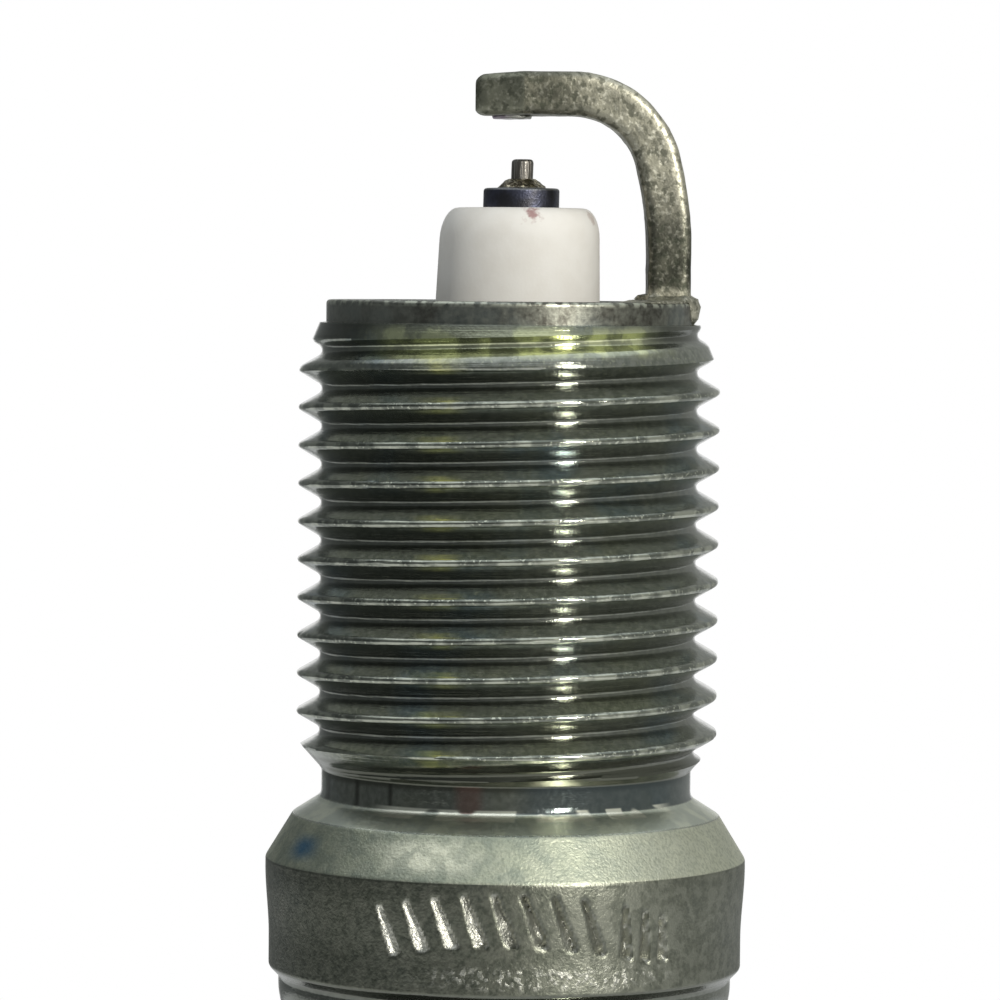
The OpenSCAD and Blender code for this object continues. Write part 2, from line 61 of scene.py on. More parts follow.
# %% [markdown]
# ## Sizes
#
# The plug is described along its axis, in millimetres. The firing end points up, and height 0 is the gauge
# plane of the conical seat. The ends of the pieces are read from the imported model, and the sizes in between
# are the plug's own: M14 thread, 16 mm hexagon and so on. Keeping them in one cell shows how they hang
# together. A thread of 60 degrees rises by the root of three along its flank, and a sharp one is 0.866
# pitches deep.

# %% Sizes of the plug, in millimetres
def low(node):
    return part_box(node)[0] / MM


def high(node):
    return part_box(node)[1] / MM


reach, nose_length, first_crest = high("shell").z, 0.75, 2.93
thread_r, pitch, nose_r, neck_r = 6.94, 1.25, 6.05, 6.1
thread_flank, sharp_depth = math.sqrt(3), math.sqrt(0.75)
gauge_r, seat_inner_r, collar_r, collar_rear_r, groove_r = 7.4, 7.05, 7.925, 7.8, 7.475
shoulder_length, neck_length, collar_length, groove_length, hex_length = 0.6, 1.0, 3.9, 2.4, 8
seat_slope, cone_slope = math.tan(math.radians(31.5)), math.tan(math.radians(30))

thread_front, crest_height = reach - nose_length, reach - first_crest
seat_front = (gauge_r - seat_inner_r) / seat_slope
seat_rear = -(collar_r - gauge_r) / seat_slope
neck_rear = seat_front + shoulder_length
thread_rear = neck_rear + neck_length
collar_rear = seat_rear - collar_length
hex_front = collar_rear - groove_length
hex_half, hex_rear = high("shell").y, hex_front - hex_length
rim_r, rim_rear = 7.2, low("shell").z
ceramic_tip, ceramic_rear = high("insulator").z, low("insulator").z
boss_height = 0.3
nickel_face, wire_end = high("centre_electrode").z - boss_height, high("electrode_tip").z
print(f"reach {reach:.2f}, seat {seat_rear:.2f} to {seat_front:.2f},",
      f"hexagon {hex_rear:.2f} to {hex_front:.2f}, rim at {rim_rear:.2f}")

# %% [markdown]
# ## Arithmetic in a node tree
#
# Both geometry and materials are made of nodes, and most of those nodes only add or multiply numbers. A small
# class lets a formula be written as a formula: each operator on a Flow places one Math node and wires it up.
# The tree that comes out is the same one that a hand would draw in the node editor.

# %% Helpers that place nodes
def add(tree, kind, inputs=(), output=0, **settings):
    """Places a node, wires or sets its inputs, and returns one of its outputs."""
    node = tree.nodes.new(kind)
    for key, value in settings.items():
        setattr(node, key, value)
    for key, value in inputs.items() if isinstance(inputs, dict) else enumerate(inputs):
        if value is None:
            continue
        if isinstance(value, Flow):
            tree.links.new(value.socket, node.inputs[key])
        else:
            node.inputs[key].default_value = value
    return Flow(tree, node.outputs[output])


class Flow:
    """A number, colour or vector on its way through a node tree."""

    def __init__(self, tree, socket):
        self.tree, self.socket = tree, socket

    def math(self, operation, *others):
        return add(self.tree, "ShaderNodeMath", (self, *others), operation=operation)

    def __add__(self, other):
        return self.math("ADD", other)

    def __sub__(self, other):
        return self.math("SUBTRACT", other)

    def __rsub__(self, other):
        return add(self.tree, "ShaderNodeMath", (other, self), operation="SUBTRACT")

    def __mul__(self, other):
        return self.math("MULTIPLY", other)

    def __truediv__(self, other):
        return self.math("DIVIDE", other)

    __radd__, __rmul__ = __add__, __mul__

    def least(self, other):
        return self.math("MINIMUM", other)

    def most(self, other):
        return self.math("MAXIMUM", other)

    def ramp(self, start, end, first=0.0, last=1.0):
        """Goes smoothly from first to last while the value goes from start to end."""
        return add(self.tree, "ShaderNodeMapRange", (self, start, end, first, last),
                   interpolation_type="SMOOTHSTEP")

    def between(self, start, end, soft):
        """1 from start to end and 0 outside, with soft edges."""
        return self.ramp(start - soft, start + soft) * self.ramp(end + soft, end - soft)


def vector(tree, x, y, z):
    return add(tree, "ShaderNodeCombineXYZ", (x, y, z))


def scaled(flow, factor):
    return add(flow.tree, "ShaderNodeVectorMath", {0: flow, 3: factor}, operation="SCALE")


def split(flow):
    node = flow.tree.nodes.new("ShaderNodeSeparateXYZ")
    flow.tree.links.new(flow.socket, node.inputs[0])
    return [Flow(flow.tree, socket) for socket in node.outputs]


def mix(mask, first, second):
    """A colour between two colours, each a flow or three plain numbers."""
    first, second = (colour if isinstance(colour, Flow) else (*colour, 1) for colour in (first, second))
    return add(mask.tree, "ShaderNodeMix", {0: mask, 6: first, 7: second}, output=2, data_type="RGBA")


def painted(colour, *layers):
    """Lays colours over one another, each through its own mask: layers of (mask, colour)."""
    for mask, tint in layers:
        colour = mix(mask, colour, tint)
    return colour


def sockets(tree, side, rows):
    """Named sockets of a tree: rows of (name, kind, default)."""
    for name, kind, value in rows:
        item = tree.interface.new_socket(name, in_out=side, socket_type="NodeSocket" + kind)
        if value is not None:
            item.default_value = value


def numbers(**values):
    """Rows of sockets that hold plain numbers."""
    return [(name.replace("_", " "), "Float", value) for name, value in values.items()]


def new_tree(name, kind, inputs, outputs):
    """A tree with named sockets, and its inputs as flows."""
    tree = bpy.data.node_groups.new(name, kind)
    sockets(tree, "OUTPUT", [(output, sort, None) for output, sort in outputs])
    sockets(tree, "INPUT", inputs)
    source = tree.nodes.new("NodeGroupInput")
    return tree, {row[0]: Flow(tree, source.outputs[row[0]]) for row in inputs}


print("node helpers ready")

# %% [markdown]
# ## Rings and skins
#
# Nearly every piece of a plug is turned on a lathe. Such a shape could be drawn as a curve and spun with a
# Screw modifier. Here each corner of the profile is a ring of points instead, because the hexagon, the
# chamfer curves and the stamped band also need rings that aren't circles. A corner's softness is a small true
# arc with a supporting ring on each side, which keeps the flat faces flat when they are shaded smoothly.

# %% Rings, soft corners and the skin between them
COLUMNS = 180
# the most that an arc takes of the flat beside it, and how far out its supporting ring stands
LONGEST_ARC, SUPPORT = 0.4, 1.2


def ring(radius, height, count=COLUMNS):
    """A closed ring of points about the axis; radius and height may have one value for each point."""
    angle = 2 * np.pi * np.arange(count) / count
    radius, height = np.broadcast_to(radius, count), np.broadcast_to(height, count)
    return np.stack([radius * np.cos(angle), radius * np.sin(angle), height], 1)


def soften(corners, count=COLUMNS):
    """Rings through corners of (radius or ring, height, softness, steps), with arcs at the soft ones."""
    keys = [(c[0] if isinstance(c[0], np.ndarray) and c[0].ndim == 2 else ring(c[0], c[1], count),
             c[2] if len(c) > 2 else 0, c[3] if len(c) > 3 else 3) for c in corners]
    rings = []
    for i, (here, softness, steps) in enumerate(keys):
        if not softness or i in (0, len(keys) - 1):
            rings.append(here)
            continue
        legs = []
        for other in (keys[i - 1][0], keys[i + 1][0]):
            way = other - here
            length = np.linalg.norm(way, axis=1, keepdims=True)
            legs.append((way / length, np.minimum(softness, LONGEST_ARC * length)))
        (back, b), (on, o) = legs
        weight = np.sqrt(np.clip((1 - np.sum(back * on, 1, keepdims=True)) / 2, 0, 1))
        rings.append(here + back * b * SUPPORT)
        for t in np.linspace(0, 1, steps + 1):
            shares = ((1 - t) ** 2, 2 * t * (1 - t) * weight, t ** 2)
            points = (here + back * b, here, here + on * o)
            rings.append(sum(s * p for s, p in zip(shares, points)) / sum(shares))
        rings.append(here + on * o * SUPPORT)
    return rings


def skin(rings, cap_first=False, cap_last=False):
    """Points and faces between rings. A ring may have a whole number of times its neighbour's points."""
    starts = np.cumsum([0] + [len(r) for r in rings])
    points, faces = np.concatenate(rings), []
    for a, b in zip(range(len(rings) - 1), range(1, len(rings))):
        na, nb = len(rings[a]), len(rings[b])
        coarse = min(na, nb)
        ka, kb = na // coarse, nb // coarse
        for i in range(coarse):
            lower = [starts[a] + (i * ka + k) % na for k in range(ka + 1)]
            upper = [starts[b] + (i * kb + k) % nb for k in range(kb + 1)]
            faces.append(lower + upper[::-1])
    for cap, at in ((cap_first, 0), (cap_last, len(rings) - 1)):
        if cap:
            middle = len(points)
            points = np.concatenate([points, rings[at].mean(0, keepdims=True)])
            n = len(rings[at])
            faces += [[starts[at] + i, starts[at] + (i + 1) % n, middle] for i in range(n)]
    return points, faces


LEAN, LEAN_FROM = 0.031, 10.2  # millimetres aside for each one up, and the height where that begins


def leaning(patch):
    """The fired core never stands quite straight in the shell: its nose leans a little towards +X."""
    points = patch[0].copy()
    points[:, 0] += LEAN * np.maximum(0.0, points[:, 2] - LEAN_FROM)
    return (points, *patch[1:])


print("a soft corner of 0.1 mm takes", len(soften([(1, 0), (1, 1, 0.1), (0.5, 1)])) - 2, "rings")

# %% [markdown]
# ## From points to a piece
#
# A piece may be made of several patches: turned parts, a thread and a stamped band. This helper puts them
# into one mesh, merges the seams, turns all faces outwards and marks the hard edges. It also reports any edge
# that is still open, because a piece that isn't closed would be a poor thing to print or to simulate.

# %% Join patches into one closed piece
SEAM, HARD_ANGLE = 1e-6, 50  # metres between points that are one, and degrees from which an edge is hard


def piece(name, patches, material, body, nodes, hard=HARD_ANGLE):
    """Patches become one mesh that rides on a body, replaces CAD nodes and takes its finish from a slot."""
    points, faces, stamps, start = [], [], [], 0
    for patch in patches:
        points.append(patch[0])
        faces += [[start + int(i) for i in face] for face in patch[1]]
        stamps.append(patch[2] if len(patch) > 2 else np.zeros(len(patch[0])))
        start += len(patch[0])
    mesh = bpy.data.meshes.new(name)
    mesh.from_pydata(np.concatenate(points) * MM, [], faces)
    stamp = mesh.attributes.new("stamp", "FLOAT", "POINT")
    stamp.data.foreach_set("value", np.concatenate(stamps).astype(np.float32))
    bm = bmesh.new()
    bm.from_mesh(mesh)
    bmesh.ops.remove_doubles(bm, verts=bm.verts, dist=SEAM)
    bmesh.ops.delete(bm, geom=[v for v in bm.verts if not v.link_faces], context="VERTS")
    bmesh.ops.recalc_face_normals(bm, faces=bm.faces)
    if bm.calc_volume(signed=True) < 0:
        bmesh.ops.reverse_faces(bm, faces=bm.faces)
    open_edges = sum(not e.is_manifold for e in bm.edges)
    triangles = sum(len(f.verts) - 2 for f in bm.faces)
    volume = bm.calc_volume(signed=True) / MM ** 3
    bm.to_mesh(mesh)
    bm.free()
    mesh.shade_smooth()
    mesh.set_sharp_from_angle(angle=math.radians(hard))
    mesh.materials.append(material)
    made = bpy.data.objects.new(name, mesh)
    bpy.context.scene.collection.objects.link(made)
    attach(made, body)
    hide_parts(*nodes)
    print(f"{name}: {triangles} triangles, {volume:.2f} mm3, open edges {open_edges}")


# %% [markdown]
# ## One tree for every thread and rib
#
# A rolled thread is a ridge that climbs one pitch for each turn. The ribs of the insulator are the same ridge
# without the climb. Both follow a rule, so one Geometry Nodes tree makes them: it bends a grid into a tube,
# climbs with the angle, and lifts the tube by the ridge's profile, with a round crest, straight flanks and a
# round root. The rows of the grid follow the ridge, so its crest is a clean line and never a staircase.

# %% Geometry Nodes tree of a ridged tube
GRID_INPUTS = [("Columns", "Int", COLUMNS), ("Rows", "Int", 200), ("Material", "Material", None)]
RIDGE_INPUTS = GRID_INPUTS + numbers(
    Turns=10.0, Start=0.0, End=10.0, Foot=0.0, Pitch=1.0, Climb=1.0, Root_Radius=5.0, Outwards=1.0,
    Depth=0.6, Crest_Flat=0.0, Crest_Round=0.1, Root_Flat=0.0, Root_Round=0.1, Flank=thread_flank,
    Start_Level=0.0, End_Level=0.0, Start_Fade=1.0, End_Fade=1.0, Nicks=0.0, Seed=3.0)
WELDED = 5e-7  # metres between points that the tree makes one
GATHERING = 0.6  # how much the rows gather at the crests and the roots, from 0 to 1


def bent_grid(tree, given):
    """A unit grid, with its two coordinates from 0 to 1 as flows."""
    grid = add(tree, "GeometryNodeMeshGrid", (1.0, 1.0, given["Columns"] + 1, given["Rows"] + 1))
    u, v, _ = split(add(tree, "GeometryNodeInputPosition"))
    return grid, u + 0.5, v + 0.5


def end_tree(tree, given, geometry, place):
    moved = add(tree, "GeometryNodeSetPosition", {"Geometry": geometry, "Position": scaled(place, MM)})
    merged = add(tree, "GeometryNodeMergeByDistance", {"Geometry": moved, "Distance": WELDED})
    real = add(tree, "GeometryNodeRealizeInstances", (merged,))
    dressed = add(tree, "GeometryNodeSetMaterial", {"Geometry": real, "Material": given["Material"]})
    sink = tree.nodes.new("NodeGroupOutput")
    tree.links.new(dressed.socket, sink.inputs[0])
    return tree


def round_off(distance, radius, share):
    """How far an arc of that radius has fallen at a distance from its top, up to its tangent point."""
    held = distance.least(radius * share)
    return radius - (radius * radius - held * held).math("SQRT")


def ridge_tree():
    tree, given = new_tree("ridged_tube", "GeometryNodeTree", RIDGE_INPUTS, [("Geometry", "Geometry")])
    grid, u, v = bent_grid(tree, given)
    turns = v * given["Turns"]
    ridge = turns - (turns * (4 * math.pi)).math("SINE") * (GATHERING / (4 * math.pi))
    raw_height = given["Foot"] + given["Pitch"] * (ridge + u * given["Climb"])
    height = raw_height.most(given["Start"]).least(given["End"])
    slope, away = given["Flank"], ((ridge + 0.5).math("FRACT") - 0.5).math("ABSOLUTE") * given["Pitch"]
    share = slope / (slope * slope + 1.0).math("SQRT")
    from_crest = (away - given["Crest Flat"] * 0.5).most(0.0)
    from_root = (given["Pitch"] * 0.5 - away - given["Root Flat"] * 0.5).most(0.0)
    crest_end = given["Crest Round"] * share
    crest = given["Depth"] - round_off(from_crest, given["Crest Round"], share) \
        - (from_crest - crest_end).most(0.0) * slope
    root = round_off(from_root, given["Root Round"], share)
    lift = crest.most(root)
    angle = u * (2 * math.pi)
    across, along = angle.math("COSINE"), angle.math("SINE")
    spot = vector(tree, across * 9.0, along * 9.0, height * 1.6 + given["Seed"])
    chance = add(tree, "ShaderNodeTexNoise", {"Vector": spot, "Scale": 1.0, "Detail": 3.0})
    worn = chance.ramp(0.6, 0.75) * lift.ramp(given["Depth"] * 0.75, given["Depth"])
    lift = lift - worn * given["Nicks"]
    lift = lift.least((height - given["Start"]) * given["Start Fade"] + given["Start Level"])
    lift = lift.least((given["End"] - height) * given["End Fade"] + given["End Level"])
    # past its end the tube stays at one level, where it meets the next patch
    past = raw_height.ramp(given["End"], given["End"] + 0.01)
    lift = lift.most(past * given["End Level"])
    radius = given["Root Radius"] + given["Outwards"] * lift
    return end_tree(tree, given, grid, vector(tree, radius * across, radius * along, height))


RIDGES = ridge_tree()
print("ridge tree:", len(RIDGES.nodes), "nodes")

# %% [markdown]
# The tree's modifier sits on an empty object for a moment. Its inputs are set by the identifiers of the
# sockets, the result is turned into a plain mesh, and only the points and faces are kept. The same helper
# works out where the ridge has to start so that a crest passes through a wanted height.

# %% Grow a mesh from a tree
def grown(tree, values, material):
    carrier = bpy.data.objects.new("carrier", bpy.data.meshes.new("carrier"))
    bpy.context.scene.collection.objects.link(carrier)
    modifier = carrier.modifiers.new("grow", "NODES")
    modifier.node_group = tree
    wanted = dict(values, Material=material)
    for item in tree.interface.items_tree:
        if item.in_out == "INPUT" and item.name in wanted:
            modifier[item.identifier] = wanted[item.name]
    evaluated = carrier.evaluated_get(bpy.context.evaluated_depsgraph_get())
    mesh = bpy.data.meshes.new_from_object(evaluated)
    points = np.zeros(len(mesh.vertices) * 3, np.float32)
    mesh.vertices.foreach_get("co", points)
    stamps = np.zeros(len(mesh.vertices), np.float32)
    if "stamp" in mesh.attributes:
        mesh.attributes["stamp"].data.foreach_get("value", stamps)
    faces = [list(face.vertices) for face in mesh.polygons]
    carrier.modifiers.remove(modifier)
    bpy.data.objects.remove(carrier)
    return points.reshape(-1, 3).astype(float) / MM, faces, stamps


def ridges(material, start, end, crest_at, pitch, columns, rows_per_turn, climb=1.0, **sizes):
    """A ridged tube from start to end, with a crest at height crest_at on the +X side."""
    turns_before = math.ceil((crest_at - start) / pitch) + (1 if climb else 0)
    foot = crest_at - turns_before * pitch
    turns = math.ceil((end - foot) / pitch - 1e-6) + (1 if climb else 0)
    values = {"Columns": columns, "Rows": turns * rows_per_turn, "Turns": float(turns), "Start": start,
              "End": end, "Foot": foot, "Pitch": pitch, "Climb": climb}
    values.update({name.replace("_", " ").title(): float(size) for name, size in sizes.items()})
    return grown(RIDGES, values, material)


trial = ridges(None, 0.0, 4.0, 1.0, 1.0, 24, 8, depth=0.3)
print("a trial thread has", len(trial[1]), "faces")

# %% [markdown]
# ## Shared effects
#
# All the metals need the same few things: to know where they are on the plug, blotches, fine turning marks
# and the faint colours of a plated film. Each is a small node group with named sockets, so that every
# material can place it with its own values. The groups give out only masks, heights and colours. The shader
# itself stays in the material, where the render finds it.

# %% Shader groups
def shader_group(name, inputs, outputs):
    return new_tree(name, "ShaderNodeTree", inputs, outputs)


def give(tree, **flows):
    """Ends a group: each flow goes to the output of its name."""
    sink = tree.nodes.new("NodeGroupOutput")
    for name, flow in flows.items():
        tree.links.new(flow.socket, sink.inputs[name])
    return tree


def use(tree, group, output=0, **values):
    """Places a group and returns one of its outputs."""
    named = {name.replace("_", " "): value for name, value in values.items()}
    return add(tree, "ShaderNodeGroup", named, output=output, node_tree=group)


def millimetres_group():
    """The place on the plug in millimetres, and its turn in degrees: 0 faces -Y, and 90 faces +X."""
    tree, _ = shader_group("millimetres", [], [("Place", "Vector"), ("Radius", "Float"), ("Height", "Float"),
                                              ("Turn", "Float")])
    place = scaled(add(tree, "ShaderNodeTexCoord", output=3), 1 / MM)
    x, y, z = split(place)
    turn = add(tree, "ShaderNodeMath", (x, 0.0 - y), operation="ARCTAN2") * math.degrees(1)
    return give(tree, Place=place, Radius=(x * x + y * y).math("SQRT"), Height=z, Turn=turn)


PLACE_INPUT = [("Place", "Vector", None)]


def patches_group():
    """Soft-edged blotches: 1 where a cloudy noise is above High, 0 where it is below Low."""
    values = numbers(Size=1.0, Detail=3.0, Low=0.45, High=0.6, Seed=0.0)
    tree, given = shader_group("patches", PLACE_INPUT + values, [("Mask", "Float")])
    shift = vector(tree, given["Seed"], given["Seed"] * 2.0, 0.0 - given["Seed"])
    moved = add(tree, "ShaderNodeVectorMath", (given["Place"], shift), operation="ADD")
    scale = add(tree, "ShaderNodeMath", (1.0, given["Size"]), operation="DIVIDE")
    cloud = add(tree, "ShaderNodeTexNoise", {"Vector": moved, "Scale": scale, "Detail": given["Detail"]})
    return give(tree, Mask=cloud.ramp(given["Low"], given["High"]))


def marks_group():
    """Height of the fine rings that a turning tool leaves."""
    tree, given = shader_group("turning_marks", PLACE_INPUT + numbers(Pitch=0.08, Wander=0.25),
                               [("Height", "Float")])
    x, y, z = split(given["Place"])
    along = vector(tree, x * given["Wander"], y * given["Wander"], z / given["Pitch"])
    return give(tree, Height=add(tree, "ShaderNodeTexNoise", {"Vector": along, "Scale": 1.0, "Detail": 2.0}))


def film_group():
    """The faint olive and blue of a plated film, over its own base colour."""
    colours = [("Base", "Color", (0.36, 0.375, 0.335, 1)), ("Olive", "Color", (0.37, 0.385, 0.315, 1)),
               ("Blue", "Color", (0.28, 0.34, 0.37, 1))]
    tree, given = shader_group("plated_film", PLACE_INPUT + colours + numbers(Size=3.0), [("Color", "Color")])
    olive = use(tree, PATCHES, Place=given["Place"], Size=given["Size"], Low=0.5, High=0.68, Seed=3.0)
    blue = use(tree, PATCHES, Place=given["Place"], Size=given["Size"], Low=0.52, High=0.7, Seed=11.0)
    fine = use(tree, PATCHES, Place=given["Place"], Size=0.22, Low=0.3, High=0.7, Detail=4.0, Seed=5.0)
    tinted = painted(given["Base"], (olive * 0.8, given["Olive"]), (blue * 0.75, given["Blue"]))
    darker = add(tree, "ShaderNodeMix", {0: 1.0, 6: tinted, 7: (0.67, 0.69, 0.67, 1)}, output=2,
                 data_type="RGBA", blend_type="MULTIPLY")
    return give(tree, Color=mix(fine, darker, tinted))


MILLIMETRES = millimetres_group()
PATCHES = patches_group()
MARKS = marks_group()
FILM = film_group()
print("shared groups:", [group.name for group in (MILLIMETRES, PATCHES, MARKS, FILM)])

# %% [markdown]
# A material starts the same way each time: a Principled BSDF with its constants set on its own sockets, the
# plug's coordinates in millimetres, and a Bump node for the relief that is too fine to model. This helper
# holds that start. What makes each finish its own follows in the cells below.

# %% Start of a material
class Finish:
    """A material under construction: its tree, its coordinates and its shader."""

    def __init__(self, name, **constants):
        self.material = bpy.data.materials.new(name)
        self.material.use_nodes = True
        self.tree = self.material.node_tree
        self.shader = self.tree.nodes["Principled BSDF"]
        for socket, value in constants.items():
            self.shader.inputs[socket.replace("_", " ")].default_value = value
        self.place, self.radius, self.height, self.turn = [
            use(self.tree, MILLIMETRES, output=i) for i in range(4)]

    def patches(self, size, low_end, high_end, detail=3.0, seed=0.0):
        return use(self.tree, PATCHES, Place=self.place, Size=size, Low=low_end, High=high_end, Detail=detail,
                   Seed=seed)

    def marks(self, pitch):
        return use(self.tree, MARKS, Place=self.place, Pitch=pitch)

    def wire(self, socket, flow):
        self.tree.links.new(flow.socket, self.shader.inputs[socket])

    def relief(self, height, depth):
        """Bump from a height of 0 to 1 over a depth in millimetres."""
        self.wire("Normal", add(self.tree, "ShaderNodeBump", {"Height": height, "Distance": depth * MM,
                                                              "Strength": 1.0}))


print("materials start from one helper")

# %% [markdown]
# ## Plated steel of the shell
#
# The shell is cold-formed steel with a thin zinc film, greenish grey with olive and bluish patches. The
# thread is rolled, so its flanks are smooth and only the crests are worn pale; that pale wear also paints in
# part of the crests' highlight. The seat is a coined cone, paler and duller than the rest, and the collar is
# darker, with bare bright metal where the stamp has cut through. Besides these colours of its own, some
# layers are painted light and shade: highlights, reflections and darker recesses, each named where it is
# laid.
# Masks from the height and the radius tell these areas apart, which keeps them crisp at any distance.

# %% Where each area of the shell lies
def shell_areas(f):
    """Masks from the height, the radius and the turn, and the patches that several areas share."""
    z, r = f.height, f.radius
    thread = z.between(thread_rear, thread_front, 0.05)
    mottle = f.patches(0.45, 0.42, 0.6, detail=4.0, seed=12.0)
    below_stamp = z.between(-4.1, -3.6, 0.25) * f.turn.between(-14.0, 36.0, 12.0)
    return SimpleNamespace(
        thread=thread, crest=thread * r.ramp(thread_r - 0.1, thread_r - 0.03),
        root=thread * r.ramp(thread_r - 0.5, thread_r - 0.76),
        run_out=z.between(neck_rear + 0.7, thread_rear + 0.45, 0.1) * r.ramp(thread_r - 0.15, thread_r - 0.3),
        run_in=z.between(thread_front - 0.95, thread_front - 0.1, 0.2),
        shelf=z.between(thread_front - 0.5, thread_front, 0.04),
        nose=z.ramp(thread_front, thread_front + 0.04),
        lip=z.ramp(reach - 0.22, reach - 0.08) * r.ramp(nose_r - 0.35, nose_r - 0.15),
        neck=z.between(neck_rear, thread_rear - 0.15, 0.04), seat=z.between(seat_rear, seat_front, 0.02),
        shoulder=z.between(seat_front + 0.02, neck_rear, 0.03),
        shoulder_end=z.between(neck_rear - 0.2, neck_rear + 0.12, 0.03),
        collar=z.between(collar_rear + 0.35, seat_rear, 0.03),
        edge=z.between(collar_rear - 0.02, collar_rear + 0.36, 0.05),
        rear=z.ramp(collar_rear + 0.05, collar_rear - 0.05),
        stamp=add(f.tree, "ShaderNodeAttribute", attribute_name="stamp", output=2),
        torn=below_stamp * f.patches(0.19, 0.5, 0.6, detail=5.0, seed=4.0) * mottle.ramp(0.0, 1.0, 0.4, 1.0),
        mottle=mottle, speckle=f.patches(0.12, 0.42, 0.66, seed=7.0),
        blotch=f.patches(0.9, 0.42, 0.62, detail=4.0, seed=2.0),
        fine=f.patches(0.16, 0.36, 0.64, detail=4.0, seed=26.0))


print("the shell's areas are told apart")

# %% [markdown]
# The colours are laid over one another from the front end to the rear, as paint would be: each layer has a
# mask and a colour. First come the thread, its crests and roots, and the smoky nose with its worn lip.
# Painted highlights, a painted reflection and painted shade in the roots, at the run-out and on the shelf are
# among them.

# %% Colours of the thread and the nose
def thread_and_nose(f, area):
    flecks = f.patches(0.11, 0.56, 0.68, detail=2.0, seed=17.0)
    worn = f.patches(0.8, 0.42, 0.6, detail=4.0, seed=19.0)
    mid_flank = area.thread * f.radius.between(thread_r - 0.34, thread_r - 0.08, 0.06)
    # painted reflection: a faint yellow gleam in the middle of the flanks, left of the front
    painted_reflection = mid_flank * f.turn.between(-24.0, -15.0, 5.0)
    front = f.turn.between(-45.0, 48.0, 9.0)
    # painted highlight: a bright yellow-green stripe on the run-in, on the front side only
    flank = area.run_in * area.crest.ramp(1.0, 0.0) * front * area.blotch.ramp(0.0, 1.0, 0.3, 0.9)
    smoky = mix(f.patches(2.2, 0.44, 0.58, seed=28.0), (0.085, 0.082, 0.07), (0.16, 0.175, 0.165))
    return painted(
        use(f.tree, FILM, Place=f.place),
        (area.thread * flecks * 0.5, (0.5, 0.52, 0.4)),
        # the crests: pale wear that also paints in part of the highlight along each crest
        (area.crest, mix((worn * 0.7).most(flecks), (0.2, 0.215, 0.185), (0.62, 0.64, 0.54))),
        # painted shade: the roots of the thread are darkened
        (area.root * 0.6, (0.12, 0.125, 0.11)),
        # painted reflection: the gleam on the flanks
        (painted_reflection * (0.3 + worn * 0.5), (0.75, 0.74, 0.33)),
        # painted shade: the run-out of the thread is darkened
        (area.run_out * 0.9, (0.12, 0.125, 0.1)),
        # painted highlight: the stripe on the run-in
        (flank, (0.85, 0.89, 0.55)),
        # painted shade: the shelf by the nose is darkened everywhere but on the front side
        (area.shelf * front.ramp(1.0, 0.0) * 0.75, (0.1, 0.105, 0.09)),
        (area.nose, mix(area.mottle * 0.3 + area.fine * 0.25, smoky, (0.33, 0.34, 0.29))),
        (area.nose * f.turn.ramp(-15.0, -45.0) * 0.5, (0.3, 0.31, 0.28)),
        (area.lip * f.patches(0.3, 0.42, 0.58, detail=5.0, seed=21.0) * 0.8, (0.6, 0.62, 0.52)))


print("thread and nose have their colours")

# %% [markdown]
# The neck carries dark streaks and faint red and blue, which are painted reflections of the room rather than
# its film. The seat is pale, with a painted highlight on its right side, one warm painted highlight and one
# blue patch, the shoulder is painted pale as lit from above, and painted highlight dashes stand where the
# neck begins.

# %% Colours of the neck, the seat and the shoulder
def neck_seat_and_shoulder(f, area, colour):
    # painted reflections: dark streaks on the neck, left of the front
    turn, reflection_streaks = f.turn, f.turn.between(-38.3, -36.8, 0.7)
    for start, end, soft in ((-53.0, -51.0, 0.9), (-75.0, -70.0, 1.5)):
        reflection_streaks = reflection_streaks.most(turn.between(start, end, soft))
    # the seat's pale colour, with a painted highlight that lightens its right side
    pale = painted(mix(area.blotch, (0.36, 0.395, 0.32), (0.5, 0.53, 0.41)),
                   (turn.ramp(5.0, 50.0) * 0.6, (0.8, 0.81, 0.66)), (area.mottle * 0.5, (0.56, 0.58, 0.46)))
    # painted highlight: a warm bright patch on the seat, left of the front
    warm_highlight = turn.between(-30.0, -10.0, 9.0) * f.height.between(-0.5, 0.35, 0.25)
    warm_highlight = warm_highlight * area.mottle.ramp(0.0, 1.0, 0.5, 1.0)
    blue = turn.between(-65.0, -56.0, 5.0) * f.height.between(-0.5, 0.1, 0.25)
    # painted highlight: bright dashes where the neck begins
    highlight_dashes = area.shoulder_end * turn.between(-40.0, 56.0, 6.0)
    return painted(
        colour,
        # painted reflections on the neck: dark streaks, a red patch and a bluish right side
        (area.neck * reflection_streaks * 0.75, (0.06, 0.06, 0.05)),
        (area.neck * turn.between(-15.0, -7.5, 2.0) * 0.6, (0.36, 0.2, 0.17)),
        (area.neck * turn.ramp(0.0, 10.0) * 0.6, (0.1, 0.14, 0.17)),
        (area.neck * 0.25, (0.05, 0.055, 0.045)),
        (area.seat, mix(area.speckle * 0.4, pale, (0.24, 0.27, 0.22))),
        (warm_highlight * 0.9, (1.0, 1.0, 0.8)),
        (blue * 0.85, (0.03, 0.16, 0.32)),
        # painted light: the shoulder, which faces up, is painted very pale
        (area.shoulder * 0.8, mix(area.blotch, (0.7, 0.75, 0.65), (0.92, 0.96, 0.8))),
        (highlight_dashes * f.patches(1.3, 0.44, 0.5, detail=1.0, seed=31.0), (1.0, 1.0, 0.86)))


print("neck, seat and shoulder have their colours")

# %% [markdown]
# The collar is the darkest part. The stamp has torn it open here and there, down to bright metal. Its right
# side is painted lighter as lit, and its rear edge and everything behind it are painted darker, which in the
# groove is painted shade. The last function lays all the layers and adds the roughness and the relief of each
# area.

